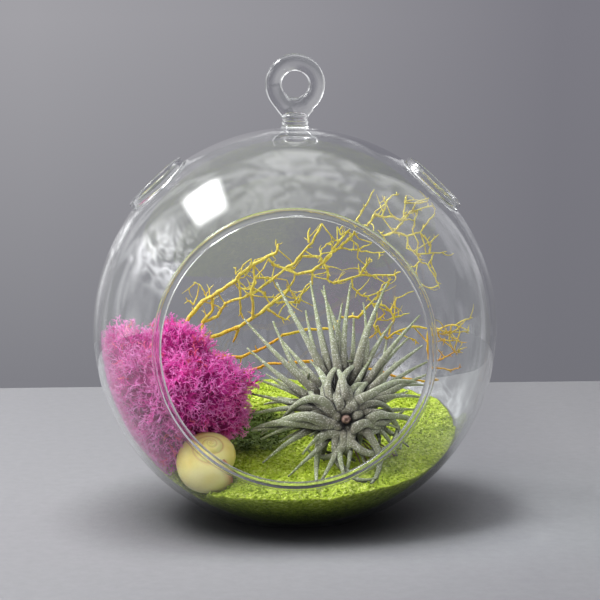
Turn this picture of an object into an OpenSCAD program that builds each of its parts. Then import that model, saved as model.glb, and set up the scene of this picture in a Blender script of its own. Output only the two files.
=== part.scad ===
// Air plant terrarium: a blown glass globe with a wide front mouth, two vent
// holes, a flat foot and a hanging loop fused on its crown, dressed with dyed
// sand, an air plant lying on its side, dyed moss, a dyed branch and a shell.
// The foot stands on z = 0 at the origin, the mouth faces -Y, +X is right.

/* [Glass globe] */
// Outside diameter of the globe
globe_d = 150; // [140:1:180]
// Thickness of the blown wall
wall_t = 2; // [1.5:0.1:3]
// Diameter of the flat that the globe stands on
foot_d = 52; // [40:1:60]
// Radius that turns the flat foot into the round wall
foot_round_r = 8; // [6:0.5:12]

/* [Openings of the globe] */
// Diameter of the ring that the mouth's melted rim runs along
mouth_ring_d = 94; // [80:1:100]
// Diameter of the ring that each vent's melted rim runs along
vent_ring_d = 23.6; // [18:0.2:28]
// Thickness of the melted rim round the mouth
rim_d = 3.2; // [2.6:0.1:4]
// Thickness of the melted rim round each vent
vent_rim_d = 2.6; // [2.2:0.1:3.4]
// Height of the short lip that carries each vent's rim
vent_lip_h = 2; // [1:0.2:4]
// Angle of each vent away from the crown
vent_tilt = 43; // [36:1:50]
// Angle by which each vent turns towards the mouth
vent_turn = 8; // [0:1:15]

/* [Hanging loop] */
// Outside diameter of the loop
loop_d = 22.4; // [18:0.2:28]
// Diameter of the glass rod that the loop is bent from
loop_rod_d = 6.3; // [5:0.1:7.5]
// Height of the loop's eye above the crown
loop_rise = 15.8; // [14:0.2:20]
// Diameter of the neck under the loop
neck_d = 8.4; // [7.6:0.2:10]
// Diameter of the solid button that the neck melts into
button_d = 17; // [14:0.5:22]
// Thickness of that button
button_t = 6.2; // [5:0.2:8]

/* [Sand] */
// Height of the sand in the middle of the globe
sand_mid_h = 27.2; // [20:0.2:34]
// Angle at which the sand rises towards the back
sand_back_slope = 11.3; // [4:0.1:16]
// Angle at which the sand rises towards the right
sand_side_slope = 3.3; // [0:0.1:8]
// Height of the low waves on the sand
sand_wave_h = 0.7; // [0:0.1:1.5]
// Height of the lumps on the waves
sand_lump_h = 1; // [0:0.1:1.6]
// Distance from one lump to the next
sand_lump_run = 12; // [10:0.5:18]

/* [Air plant] */
// Height of the plant's cut base above the sand
plant_base_h = 17; // [14:0.5:22]
// Reach of the longest leaf from that base
leaf_reach = 56; // [46:1:60]
// Width of a leaf where it leaves the base
leaf_w = 4.6; // [3:0.1:6]
// Length of the bulb that the leaf bases make
bulb_l = 17; // [12:0.5:20]
// Thickness of that bulb
bulb_d = 12; // [9:0.5:14]
// Thickness of the stem's cut end
stem_d = 6.4; // [5:0.2:8]

/* [Branch] */
// Distance of the branch behind the middle of the globe
branch_depth = 16; // [14:0.5:20]
// Thickness of the trunk where it enters the sand
trunk_d = 2.4; // [1.8:0.1:3.6]
// Thickness of the thinnest twigs
twig_d = 0.8; // [0.7:0.1:1.2]

/* [Moss] */
// Width of the clump
moss_w = 60; // [50:1:66]
// Size of the short sprigs that roughen the moss
sprig_l = 4.2; // [3:0.2:6]
// Thickness of a sprig at its root
sprig_d = 3.4; // [2.4:0.2:4.6]

/* [Snail shell] */
// Width of the shell across its last whorl
shell_d = 23.5; // [18:0.5:28]
// Height of the apex above the middle of the last whorl
spire_h = 11.5; // [8:0.5:15]
// Number of turns of the spiral
shell_turns = 3.5; // [2.75:0.25:4]
// Growth of the whorl over one turn
whorl_growth = 1.7; // [1.5:0.05:2]
// Depth to which the shell is pressed into the sand
shell_sink = 5; // [3:0.5:7]

/* [Hidden] */

// Space left between a thing in the globe and what carries it
seat_gap = 0.3;
globe_r = globe_d / 2;
inner_r = globe_r - wall_t;
mid_r = globe_r - wall_t / 2;
centre_z = foot_round_r + sqrt(pow(globe_r - foot_round_r, 2) - pow(foot_d / 2, 2));
crown_z = centre_z + globe_r;
sweep_fn = 96;

function unit(v) = v / norm(v);
function ring_offset(ring_d) = sqrt(pow(mid_r, 2) - pow(ring_d / 2, 2));

// Glass globe

// Half section of the globe's outside, moved inwards by "inset"
module globe_section(inset) {
    bend = [foot_d / 2, foot_round_r];
    far = 3 * globe_r;
    out = unit(bend - [0, centre_z]);
    difference() {
        intersection() {
            translate([0, centre_z]) circle(globe_r - inset, $fn = sweep_fn);
            translate([0, inset]) square(far);
        }
        difference() {
            polygon([bend, bend + out * far, [bend.x, -far]]);
            translate(bend) circle(foot_round_r - inset, $fn = sweep_fn);
        }
    }
}

module blown_wall() {
    rotate_extrude($fn = sweep_fn) difference() {
        globe_section(0);
        globe_section(wall_t);
    }
}

// Turns +Z of the children to a direction from the globe's centre
module towards(tilt, turn) {
    translate([0, 0, centre_z]) rotate([0, tilt, turn]) children();
}

// The cap of glass that is cracked off at an opening
module cracked_off(ring_d) {
    translate([0, 0, ring_offset(ring_d) - 2 * wall_t])
        cylinder(h = globe_r, d = ring_d, $fn = sweep_fn);
}

// The rim of an opening, melted to a round bead
module melted_rim(ring_d, bead_d, lift) {
    translate([0, 0, ring_offset(ring_d) + lift])
        rotate_extrude($fn = sweep_fn)
            translate([ring_d / 2, 0]) circle(d = bead_d, $fn = 32);
}

// A vent's lip, drawn outwards from the wall and open over the vent's hole
module vent_lip() {
    translate([0, 0, ring_offset(vent_ring_d)])
        cylinder(h = vent_lip_h, d = vent_ring_d + wall_t, $fn = sweep_fn);
}

module at_each_vent() {
    for (turn = [-vent_turn, 180 + vent_turn]) towards(vent_tilt, turn) children();
}

// One leg of the loop, from the bent rod down into the neck
module loop_leg(angle, side) {
    bend_r = (loop_d - loop_rod_d) / 2;
    eye_z = crown_z + loop_rise;
    start = [bend_r * cos(angle), 0, eye_z + bend_r * sin(angle)];
    foot = [side * neck_d * 0.14, 0, crown_z + 3];
    run = foot - start;
    translate(start)
        rotate([0, atan2(run.x, run.z), 0])
            cylinder(h = norm(run), d = loop_rod_d * 0.93, $fn = 48);
}

module hanging_loop() {
    translate([0, 0, crown_z + loop_rise]) rotate([90, 0, 0])
        rotate_extrude($fn = sweep_fn)
            translate([(loop_d - loop_rod_d) / 2, 0]) circle(d = loop_rod_d, $fn = 48);
    loop_leg(213, -1);
    loop_leg(-40, 1);
    translate([0, 0, crown_z - button_t / 2]) cylinder(h = button_t / 2 + 5.4, d = neck_d, $fn = 64);
    translate([0, 0, crown_z + 1.3]) rotate_extrude($fn = 64)
        translate([neck_d / 2 - 0.7, 0]) circle(d = 2.8, $fn = 32);
    // The button reaches through the wall and bulges inside the crown
    translate([0, 0, crown_z - button_t / 2]) rotate_extrude($fn = 64) {
        translate([(button_d - button_t) / 2, 0]) circle(d = button_t, $fn = 48);
        translate([0, -button_t / 2]) square([(button_d - button_t) / 2, button_t]);
    }
}

module glass_globe() {
    color([0.86, 0.9, 0.9, 0.35]) {
        difference() {
            union() {
                blown_wall();
                at_each_vent() vent_lip();
            }
            towards(90, -90) cracked_off(mouth_ring_d);
            at_each_vent() cracked_off(vent_ring_d - wall_t);
        }
        towards(90, -90) melted_rim(mouth_ring_d, rim_d, 0);
        at_each_vent() melted_rim(vent_ring_d, vent_rim_d, vent_lip_h);
        hanging_loop();
    }
}

// Sand

sand_sides = 54;
sand_rings = 14;
wall_rings = 4;

function sand_plane(x, y) = sand_mid_h + y * tan(sand_back_slope) + x * tan(sand_side_slope);
function sand_waves(x, y) = sand_wave_h * (sin(11 * x + 4 * y) + cos(9 * y - 5 * x)) / 2;
function sand_lumps(x, y) =
    let (turn = 360 / sand_lump_run)
    sand_lump_h * sin(turn * (x + 0.3 * y)) * cos(turn * (0.9 * y - 0.4 * x)) / 2;

// The shell lies at the front left, with its rounded side near the glass: its
// distance from the globe's axis, found by repeated steps
shell_turn = 225;
shell_side = 0.92;
shell_r = shell_d / 2;
fill_r = inner_r - seat_gap;
function shell_mid_z(x, y) = sand_plane(x, y) + shell_r - shell_sink;
function shell_out(r, steps) =
    let (rise = shell_mid_z(r * cos(shell_turn), r * sin(shell_turn)) - centre_z)
    steps == 0 ? r : shell_out(sqrt(pow(fill_r - shell_r * shell_side, 2) - rise * rise), steps - 1);
shell_at = shell_out(inner_r * 0.6, 8) * [cos(shell_turn), sin(shell_turn)];

// The dent that the shell has pressed into the sand
shell_z = shell_mid_z(shell_at.x, shell_at.y);
dent_r = shell_r + seat_gap + 0.5;
function shell_dent(x, y) =
    let (off = norm([x, y] - shell_at))
    off < dent_r ? shell_z - sqrt(pow(dent_r, 2) - pow(off, 2)) : 2 * globe_r;

function sand_z(x, y) =
    min(sand_plane(x, y) + sand_waves(x, y) + sand_lumps(x, y), shell_dent(x, y));

// Radius at which the sand's surface meets the glass, found by repeated steps
function shore_r(a, r, steps) =
    steps == 0 ? r :
    shore_r(a, sqrt(pow(fill_r, 2) - pow(sand_z(r * cos(a), r * sin(a)) - centre_z, 2)), steps - 1);

function around(r, a, z) = [r * cos(a), r * sin(a), z];

// The sand as one closed form, with its surface raised by "raise"
module sand_form(raise) {
    step = 360 / sand_sides;
    foot_bend = unit([foot_d / 2, foot_round_r - centre_z]) * fill_r;
    top = [for (i = [1 : sand_rings], j = [0 : sand_sides - 1])
        let (a = j * step, r = shore_r(a, inner_r * 0.7, 8) * i / sand_rings, p = around(r, a, 0))
        [p.x, p.y, sand_z(p.x, p.y) + raise]];
    side = [for (i = [1 : wall_rings], j = [0 : sand_sides - 1])
        let (a = j * step, r = shore_r(a, inner_r * 0.7, 8), shore = acos(r / fill_r),
             foot = acos(foot_bend.x / fill_r), low = shore + (foot - shore) * i / wall_rings)
        around(fill_r * cos(low), a, centre_z - fill_r * sin(low))];
    flat = [for (j = [0 : sand_sides - 1]) around(foot_d / 2, j * step, wall_t + seat_gap)];
    points = concat([[0, 0, sand_z(0, 0) + raise]], top, side, flat, [[0, 0, wall_t + seat_gap]]);
    hoops = sand_rings + wall_rings + 1;
    last = len(points) - 1;
    faces = concat(
        [for (j = [0 : sand_sides - 1]) [0, 1 + (j + 1) % sand_sides, 1 + j]],
        [for (i = [0 : hoops - 2], j = [0 : sand_sides - 1], half = [0, 1])
            let (a = 1 + i * sand_sides + j, b = 1 + i * sand_sides + (j + 1) % sand_sides,
                 c = a + sand_sides, d = b + sand_sides)
            half == 0 ? [a, b, d] : [a, d, c]],
        [for (j = [0 : sand_sides - 1])
            let (base = 1 + (hoops - 1) * sand_sides)
            [last, base + j, base + (j + 1) % sand_sides]]);
    polyhedron(points, faces);
}

module sand_bed() {
    color([0.56, 0.74, 0.2]) sand_form(0);
}

// Keeps a thing clear of the glass and of the sand that carries it
module laid_in_globe() {
    difference() {
        intersection() {
            union() children();
            translate([0, 0, centre_z]) sphere(fill_r - seat_gap * 1.5, $fn = 64);
        }
        sand_form(seat_gap);
    }
}

// Air plant

// Each leaf: its turn round the base, then its reach, its depth behind the base
// and the rise of its middle, as shares of the longest leaf's reach
leaves_up = [
    [117, 1, 0.43, -0.04], [104, 0.93, 0.46, -0.02], [99, 0.88, 0.39, 0], [87, 0.89, 0.46, 0],
    [91, 0.75, 0.36, 0.02], [72, 0.93, 0.43, 0.04], [76, 0.62, 0.5, 0.02], [110, 0.75, 0.54, 0],
    [95, 0.64, 0.59, 0], [80, 0.77, 0.55, 0.02]];
leaves_right = [
    [53, 0.84, 0.36, 0.05], [50, 0.68, 0.43, 0.05], [42, 0.7, 0.32, 0.05],
    [33, 0.66, 0.36, 0.07], [27, 0.62, 0.25, 0.07], [21, 0.57, 0.32, 0.07],
    [13, 0.54, 0.21, 0.07], [-3, 0.43, 0.18, 0.09], [41, 0.3, 0.07, 0.07],
    [-36, 0.41, 0.04, 0.09], [62, 0.71, 0.54, 0.04], [5, 0.48, 0.36, 0.09]];
leaves_left = [
    [136, 0.93, 0.32, -0.04], [127, 0.79, 0.39, -0.04], [145, 0.79, 0.29, 0],
    [157, 0.62, 0.25, 0.02], [152, 0.59, 0.36, 0.02], [166, 0.64, 0.21, 0.04],
    [179, 0.64, 0.18, 0.05], [188, 0.62, 0.14, 0.07], [194, 0.57, 0.07, 0.09],
    [130, 0.68, 0.54, 0], [172, 0.54, 0.36, 0.05]];
leaves_down = [
    [208, 0.61, 0, 0.07], [218, 0.36, -0.11, 0.07], [246, 0.48, -0.2, 0.05],
    [268, 0.39, -0.16, 0.05], [224, 0.52, -0.14, 0.07], [200, 0.46, 0.11, 0.09],
    [292, 0.34, -0.07, 0.05], [312, 0.39, 0.07, 0.07], [335, 0.46, 0.18, 0.09],
    [257, 0.34, 0.07, 0.05]];

base_at = inner_r * [0.253, -0.342];
plant_base = [base_at.x, base_at.y, sand_plane(base_at.x, base_at.y) + plant_base_h];
plant_tip_angle = 7.5;
root_d = 1.4;
plant_axis = [0, cos(plant_tip_angle), -sin(plant_tip_angle)];
plant_up = [0, sin(plant_tip_angle), cos(plant_tip_angle)];
leaf_rings = 4;

function curve(p, s) = pow(1 - s, 2) * p[0] + 2 * s * (1 - s) * p[1] + s * s * p[2];
function heading(p, s) = unit((1 - s) * (p[1] - p[0]) + s * (p[2] - p[1]));

// A leaf is a tapering channel, keeled towards the plant's base
module leaf(row) {
    out = [cos(row[0]), 0, 0] + sin(row[0]) * plant_up;
    start = plant_base + plant_axis * (bulb_l * 0.36 + leaf_reach * row[2] * 0.08) + out * bulb_d * 0.24;
    tip = plant_base + (out * row[1] + plant_axis * row[2]) * leaf_reach;
    middle = (start + tip) / 2 + (plant_up * row[3] - plant_axis * (0.05 + row[1] * 0.14)) * leaf_reach;
    path = [start, middle, tip];
    rings = [for (i = [0 : leaf_rings - 1])
        let (s = i / leaf_rings, at = curve(path, s), ahead = heading(path, s),
             across = unit(cross(ahead, plant_axis)), keel = cross(ahead, across),
             w = leaf_w * pow(1 - s, 0.7) * (0.82 + 0.18 * sin(180 * s)) / 2)
        each [at + across * w + keel * w * 0.5, at + keel * w * 0.12,
              at - across * w + keel * w * 0.5, at - keel * w * 0.5]];
    last = 4 * leaf_rings;
    polyhedron(concat(rings, [tip]), concat(
        [[0, 1, 3], [1, 2, 3]],
        [for (i = [0 : leaf_rings - 2], j = [0 : 3], half = [0, 1])
            let (a = 4 * i + j, b = 4 * i + (j + 1) % 4)
            half == 0 ? [a, b + 4, b] : [a, a + 4, b + 4]],
        [for (j = [0 : 3]) [last - 4 + j, last, last - 4 + (j + 1) % 4]]));
}

// A thin rod along a bent path, as one closed form that tapers from d0 to d1
module rod(path, d0, d1, sides) {
    n = len(path);
    ahead = [for (i = [0 : n - 1]) unit(path[min(i + 1, n - 1)] - path[max(i - 1, 0)])];
    rings = [for (i = [0 : n - 1], j = [0 : sides - 1])
        let (side = unit(cross(ahead[i], [0, 1, 0])), rise = cross(ahead[i], side),
             r = (d0 + (d1 - d0) * i / (n - 1)) / 2, turn = 360 * j / sides)
        path[i] + r * (side * cos(turn) + rise * sin(turn))];
    points = concat(rings, [path[0] - ahead[0] * d0 / 2, path[n - 1] + ahead[n - 1] * d1]);
    start = n * sides;
    polyhedron(points, concat(
        [for (j = [0 : sides - 1]) [start, j, (j + 1) % sides]],
        [for (i = [0 : n - 2], j = [0 : sides - 1], half = [0, 1])
            let (a = i * sides + j, b = i * sides + (j + 1) % sides)
            half == 0 ? [a, b + sides, b] : [a, a + sides, b + sides]],
        [for (j = [0 : sides - 1]) [start + 1, start - sides + (j + 1) % sides, start - sides + j]]));
}

module tapered_run(points, d0, d1, sides) {
    steps = len(points) - 1;
    for (i = [0 : steps - 1]) hull() {
        translate(points[i]) sphere(d = d0 + (d1 - d0) * i / steps, $fn = sides);
        translate(points[i + 1]) sphere(d = d0 + (d1 - d0) * (i + 1) / steps, $fn = sides);
    }
}

// Bulb that the leaf bases make round the stem, with dry roots under it
module bulb_and_roots() {
    middle = plant_base + plant_axis * bulb_l * 0.4;
    tapered_run([plant_base, middle], stem_d, bulb_d, 12);
    tapered_run([middle, plant_base + plant_axis * bulb_l], bulb_d, bulb_d * 0.5, 12);
    for (i = [0 : 3]) rod([
        middle - plant_up * bulb_d * 0.3,
        middle + plant_base_h * [0.3 + 0.18 * i, 0.12 * i - 0.35, -0.53 - 0.06 * i],
        middle + plant_base_h * [0.41 + 0.24 * i, 0.18 * i - 0.53, -1.12]], root_d, root_d * 0.6, 5);
}

module air_plant() {
    color([0.6, 0.66, 0.56]) laid_in_globe() {
        bulb_and_roots();
        for (row = concat(leaves_up, leaves_right, leaves_left, leaves_down)) leaf(row);
    }
}

// Branch

// Each limb: start and end thickness as shares, then its points across and up
// from the globe's centre, in hundredths of the inside radius
limbs = [
    [1, 0.62, [[-63, -59], [-62, -47], [-60, -36], [-59, -27], [-58, -19], [-56, -16], [-51, -11],
        [-38, -4], [-26, 1], [-22, 5], [-15, 11], [-3, 19]]],
    [0.66, 0.3, [[-59, -27], [-60, -5], [-55, 5], [-47, 14], [-30, 25], [-14, 36], [-10, 38], [-8, 42]]],
    [0.6, 0.25, [[-38, -4], [-40, 4], [-38, 10], [-26, 14], [-14, 22], [-8, 26], [-3, 32], [3, 37],
        [8, 42], [14, 53]]],
    [0.45, 0.3, [[-8, 26], [10, 27], [15, 32], [26, 42], [32, 47], [38, 44], [47, 47], [52, 49], [56, 53]]],
    [0.34, 0.05, [[56, 53], [59, 59], [68, 63], [73, 62]]],
    [0.25, 0, [[59, 59], [58, 68]]],
    [0.3, 0.05, [[52, 49], [58, 48], [62, 48], [70, 53], [74, 58]]],
    [0.2, 0, [[62, 48], [62, 53], [64, 56]]],
    [0.34, 0, [[58, 48], [59, 41], [66, 36], [70, 37], [79, 38]]],
    [0.2, 0, [[70, 37], [71, 41], [75, 47]]],
    [0.25, 0, [[66, 36], [66, 32], [74, 25], [75, 19]]],
    [0.15, 0, [[66, 32], [63, 30], [59, 32]]],
    [0.34, 0.05, [[32, 47], [33, 51], [33, 53], [40, 66], [41, 71]]],
    [0.25, 0.15, [[33, 53], [41, 58], [45, 58], [51, 56], [56, 53]]],
    [0.2, 0, [[45, 58], [47, 66], [55, 68]]],
    [0.25, 0, [[33, 51], [25, 58], [14, 59]]],
    [0.3, 0.1, [[15, 32], [14, 37], [19, 42], [26, 48]]],
    [0.2, 0.1, [[3, 37], [8, 36], [14, 37]]],
    [0.2, 0, [[8, 42], [7, 49]]],
    [0.25, 0, [[26, 42], [34, 40], [45, 38]]],
    [0.35, 0.05, [[10, 27], [18, 21], [30, 25], [33, 26], [37, 26], [45, 26], [55, 27]]],
    [0.2, 0, [[33, 26], [37, 30], [38, 36]]],
    [0.3, 0.1, [[37, 26], [41, 12], [48, 10], [49, 8], [51, 4], [49, -5]]],
    [0.2, 0.1, [[49, -5], [45, -4], [42, 0], [44, 4]]],
    [0.2, 0, [[49, 8], [53, 14], [62, 16]]],
    [0.3, 0, [[49, -5], [64, -1], [74, -3], [82, 0], [92, 5]]],
    [0.2, 0, [[74, -3], [82, -5], [90, -3]]],
    [0.5, 0.25, [[-56, -16], [-29, -16], [-16, -11], [-8, -5], [7, -1], [27, -7], [49, -5]]],
    [0.5, 0.2, [[-60, -36], [-29, -26], [-10, -21], [16, -16], [41, -22], [68, -21], [74, -21]]],
    [0.2, 0, [[74, -21], [82, -14], [89, -11]]],
    [0.2, 0, [[68, -21], [79, -25], [85, -22]]],
    [0.25, 0, [[-47, 14], [-49, 21], [-53, 21]]],
    [0.3, 0.1, [[-47, 14], [-45, 7], [-49, -4], [-51, -11]]],
    [0.25, 0.1, [[-22, 5], [-22, 12], [-23, 16]]]];

// The limbs kink to and fro in depth by this share of the inside radius
limb_kink = 0.03;
thorn_l = 3.2;
function limb_d(share) = twig_d + (trunk_d - twig_d) * share;
function on_branch(p) =
    let (q = p * inner_r / 100, kink = limb_kink * inner_r * sin(7 * p.x + 5 * p.y))
    [q.x, branch_depth - 0.12 * q.x - 0.03 * q.y + kink, centre_z + q.y];

// A short pointed stub that stands off a limb, half way between two points
module thorn(a, b, k) {
    ahead = unit(b - a);
    off = unit(cross(ahead, [cos(137 * k), sin(137 * k), cos(59 * k)]));
    side = cross(ahead, off);
    root = (a + b) / 2;
    w = twig_d * 0.6;
    polyhedron(
        [root - ahead * w, root + ahead * w + side * w, root + ahead * w - side * w,
            root + (off + ahead * 0.6) * thorn_l * (0.8 + 0.3 * sin(97 * k))],
        [[0, 1, 2], [0, 3, 1], [1, 3, 2], [2, 3, 0]]);
}

module branch() {
    color([0.9, 0.78, 0.2]) laid_in_globe()
        for (k = [0 : len(limbs) - 1]) {
            path = [for (p = limbs[k][2]) on_branch(p)];
            rod(path, limb_d(limbs[k][0]), limb_d(limbs[k][1]), limbs[k][0] > 0.4 ? 6 : 4);
            for (i = [1 + k % 2 : 2 : len(path) - 1]) thorn(path[i - 1], path[i], k + 5 * i);
        }
}

// Moss

// Lobes of the clump: place from the clump's middle and radius, in hundredths of
// the clump's width
moss_lobes = [
    [-33, 13, 22, 18], [-1, 8, 25, 18], [-18, 0, 0, 28], [22, -3, 3, 22], [2, -8, -3, 28],
    [-7, -7, -25, 23], [24, 3, -9, 20], [-15, 10, 12, 20], [10, 7, 10, 18], [-22, 13, -22, 20]];
moss_at = inner_r * [-0.603, -0.192];
moss_middle = [moss_at.x, moss_at.y, sand_plane(moss_at.x, moss_at.y) + moss_w * 0.417];
moss_rows = 24;
moss_columns = 40;
stray_sprigs = 16;

// Distance from the clump's middle to the outside of one lobe, along d
function lobe_reach(d, lobe) =
    let (c = [lobe.x, lobe.y, lobe.z], along = d * c, square = along * along - c * c + lobe[3] * lobe[3])
    square > 0 ? along + sqrt(square) : 0;
function moss_reach(d) = max([for (lobe = moss_lobes) lobe_reach(d, lobe)]) * moss_w / 100;

// A direction from the clump's middle, by its angle from +X and its turn round X
function moss_way(tilt, turn) = [cos(tilt), sin(tilt) * cos(turn), sin(tilt) * sin(turn)];

// Share of its full length that a sprig has room for at one place: none where the
// clump meets the sand, the shell or the glass
function sprig_room(p) =
    let (at = moss_middle + p, shell_middle = [shell_at.x, shell_at.y, shell_z],
         room = min(at.z - sand_plane(at.x, at.y), norm(at - shell_middle) - dent_r,
                    fill_r - norm(at - [0, 0, centre_z])))
    max(0, min(1, room / sprig_l - 0.25));

// The clump as one closed form, about half of whose points are the tips of sprigs
module moss_clump() {
    dice = rands(-1, 1, 3 * moss_rows * moss_columns, 5);
    points = concat([[moss_reach([1, 0, 0]), 0, 0]],
        [for (i = [1 : moss_rows], j = [0 : moss_columns - 1])
            let (k = 3 * ((i - 1) * moss_columns + j),
                 tilt = 180 * (i + 0.25 * dice[k]) / (moss_rows + 1),
                 turn = 360 * (j + i % 2 / 2 + 0.25 * dice[k + 1]) / moss_columns,
                 d = moss_way(tilt, turn),
                 sprig = dice[k + 2] > 0 ? sprig_l * (0.4 + 0.6 * dice[k + 2]) : sprig_d * dice[k + 2] / 3)
            d * (moss_reach(d) + sprig * sin(tilt) * sprig_room(d * moss_reach(d)))],
        [[-moss_reach([-1, 0, 0]), 0, 0]]);
    last = len(points) - 1;
    polyhedron(points, concat(
        [for (j = [0 : moss_columns - 1]) [0, 1 + (j + 1) % moss_columns, 1 + j]],
        [for (i = [0 : moss_rows - 2], j = [0 : moss_columns - 1], half = [0, 1])
            let (a = 1 + i * moss_columns + j, b = 1 + i * moss_columns + (j + 1) % moss_columns,
                 c = a + moss_columns, d = b + moss_columns)
            half == 0 ? [a, b, d] : [a, d, c]],
        [for (j = [0 : moss_columns - 1])
            let (base = last - moss_columns)
            [last, base + j, base + (j + 1) % moss_columns]]));
}

// Sprigs that stand out of the clump where there is room
module stray_sprig(k) {
    d = moss_way(70 + 65 * sin(61 * k), 150 - 140 * k / stray_sprigs);
    out = moss_reach(d);
    curl = [sin(83 * k), cos(47 * k), 0.8] * sprig_l * 0.4;
    path = [d * (out - sprig_d), d * (out + sprig_l * 0.9), d * (out + sprig_l * 1.3) + curl];
    if (sprig_room(d * (out + sprig_l)) == 1) rod(path, sprig_d * 0.5, sprig_d * 0.16, 4);
}

module moss() {
    color([0.75, 0.2, 0.55]) difference() {
        laid_in_globe() translate(moss_middle) {
            moss_clump();
            for (k = [0 : stray_sprigs - 1]) stray_sprig(k);
        }
        // The shell leans on the clump and presses it in
        translate([shell_at.x, shell_at.y, shell_z]) sphere(dent_r, $fn = 32);
    }
}

// Snail shell

whorl_steps = 12;
// Reach of the lip from the spiral's axis, and radius of the whorl at the lip
lip_reach = shell_d / (1 + pow(whorl_growth, -0.5));
lip_r = lip_reach * 0.58;
lip_angle = 15;
function grown(turn) = pow(whorl_growth, turn - shell_turns);

// Middle of the whorl after a number of turns, from the middle of the lip
function whorl_at(turn) =
    let (g = grown(turn), a = lip_angle + 360 * (turn - shell_turns), r = (lip_reach - lip_r) * g)
    [r * cos(a), r * sin(a), spire_h * (1 - g)];

module whorls(first, last, share) {
    for (i = [first * whorl_steps : last * whorl_steps - 1]) hull() for (k = [0, 1])
        let (turn = (i + k) / whorl_steps)
        translate(whorl_at(turn)) sphere(lip_r * grown(turn) * share, $fn = 12);
}

// The spiral leans towards the mouth of the globe, its lip to the right
module snail_shell() {
    color([0.93, 0.88, 0.6])
        translate([shell_at.x, shell_at.y, shell_z]) rotate([38, 6, 0])
            translate([(lip_reach - shell_d / 2) * -1, 0, -spire_h * 0.2]) difference() {
                whorls(0, shell_turns, 1);
                whorls(shell_turns - 0.25, shell_turns + 0.25, 0.86);
            }
}

glass_globe();
sand_bed();
air_plant();
branch();
moss();
snail_shell();
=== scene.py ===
import math
import random

import bpy
import numpy as np
from mathutils import Matrix, Vector, noise


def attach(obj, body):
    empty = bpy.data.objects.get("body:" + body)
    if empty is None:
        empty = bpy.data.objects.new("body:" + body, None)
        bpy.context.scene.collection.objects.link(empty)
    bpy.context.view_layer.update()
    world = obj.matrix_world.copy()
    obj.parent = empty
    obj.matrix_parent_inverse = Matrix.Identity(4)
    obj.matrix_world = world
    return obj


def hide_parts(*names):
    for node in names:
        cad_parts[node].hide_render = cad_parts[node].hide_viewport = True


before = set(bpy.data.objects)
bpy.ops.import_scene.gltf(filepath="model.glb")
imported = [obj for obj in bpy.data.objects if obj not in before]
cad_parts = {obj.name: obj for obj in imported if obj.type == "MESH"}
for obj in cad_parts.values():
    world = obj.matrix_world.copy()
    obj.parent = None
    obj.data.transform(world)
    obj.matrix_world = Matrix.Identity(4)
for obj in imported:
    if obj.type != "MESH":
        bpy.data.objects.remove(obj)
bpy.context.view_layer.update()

# Sizes in metres. The foot stands on z = 0, the mouth faces -Y, +X is right.
GLOBE_R = 0.075
WALL = 0.002
INSIDE_R = GLOBE_R - WALL
MID_R = GLOBE_R - WALL / 2
MIDDLE = Vector((0, 0, 0.06975))
CROWN = MIDDLE + Vector((0, 0, GLOBE_R))
FOOT_R = 0.026
FOOT_BEND = 0.008
RIM_R = 0.0016
MOUTH_R = 0.047
VENT_R = 0.0118
VENT_TILT = math.radians(43)
VENT_TURN = math.radians(8)
VENT_BEAD_R = 0.0013
VENT_BEAD_OUT = 0.07505
EYE_RISE = 0.0158
LOOP_BEND = 0.00805
LOOP_ROD = 0.00315
SAND_MID = 0.0272
SAND_BACK = math.tan(math.radians(11.3))
SAND_SIDE = math.tan(math.radians(3.3))
# The sand fills the globe to just inside the wall, down to a round foot
FILL_R = 0.0727
FILL_FOOT_R = 0.0275
SHELL_R = 0.01175
SHELL_AT = Vector((-0.031, -0.031, 0.02597))
SHELL_CLEAR = 0.0012
SAND_RINGS = 104
BURIED_RINGS = 22
GRAINS = 6000
SPRIGS = 3100
JOINING_TWIGS = 84
# How far from the globe's middle the twigs and the sprigs may reach
TWIG_REACH = 0.0708
SPRIG_REACH = 0.0724
PLANT_BASE = Vector((0.01847, -0.02497, 0.0403))
LEAF_REACH = 0.056
LEAF_WIDTH = 0.0045


def tone(red, green, blue):
    """A colour given in 0 to 255, as the shader wants it."""
    levels = [v / 255 / 12.92 if v < 10.3 else ((v / 255 + 0.055) / 1.055) ** 2.4 for v in (red, green, blue)]
    return (*levels, 1.0)


def even(level):
    return (level, level, level, 1)


BLACK, WHITE = even(0), even(1)


# Handling of pieces


def only(piece):
    bpy.ops.object.select_all(action="DESELECT")
    piece.select_set(True)
    bpy.context.view_layer.objects.active = piece


def named(name):
    piece = bpy.context.object
    piece.name = name
    piece.data.name = name
    return piece


def open_up(piece):
    only(piece)
    bpy.ops.object.mode_set(mode="EDIT")
    bpy.ops.mesh.select_mode(type="VERT")
    bpy.ops.mesh.select_all(action="SELECT")


def close_up():
    bpy.ops.object.mode_set(mode="OBJECT")


def pick(piece, wanted):
    """Opens a piece with only the vertices selected whose place passes the test."""
    open_up(piece)
    bpy.ops.mesh.select_all(action="DESELECT")
    close_up()
    for vertex in piece.data.vertices:
        vertex.select = wanted(vertex.co)
    bpy.ops.object.mode_set(mode="EDIT")


def settle(piece):
    """Puts a piece's place, turn and size into its mesh."""
    only(piece)
    bpy.ops.object.transform_apply(location=True, rotation=True, scale=True)


def finish_modifiers(piece):
    only(piece)
    for modifier in list(piece.modifiers):
        bpy.ops.object.modifier_apply(modifier=modifier.name)


def face_outwards(piece):
    open_up(piece)
    bpy.ops.mesh.normals_make_consistent(inside=False)
    close_up()


def smooth(piece):
    only(piece)
    bpy.ops.object.shade_smooth()
    return piece


def upright(way):
    """The turn that brings +Z to the way."""
    return way.to_track_quat("Z", "Y").to_matrix().to_4x4()


def any_way(dice):
    return drawn(dice, (-1, 1), (-1, 1), (-1, 1))


def drawn(dice, *limits):
    return Vector([dice.uniform(low, high) for low, high in limits])


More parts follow.
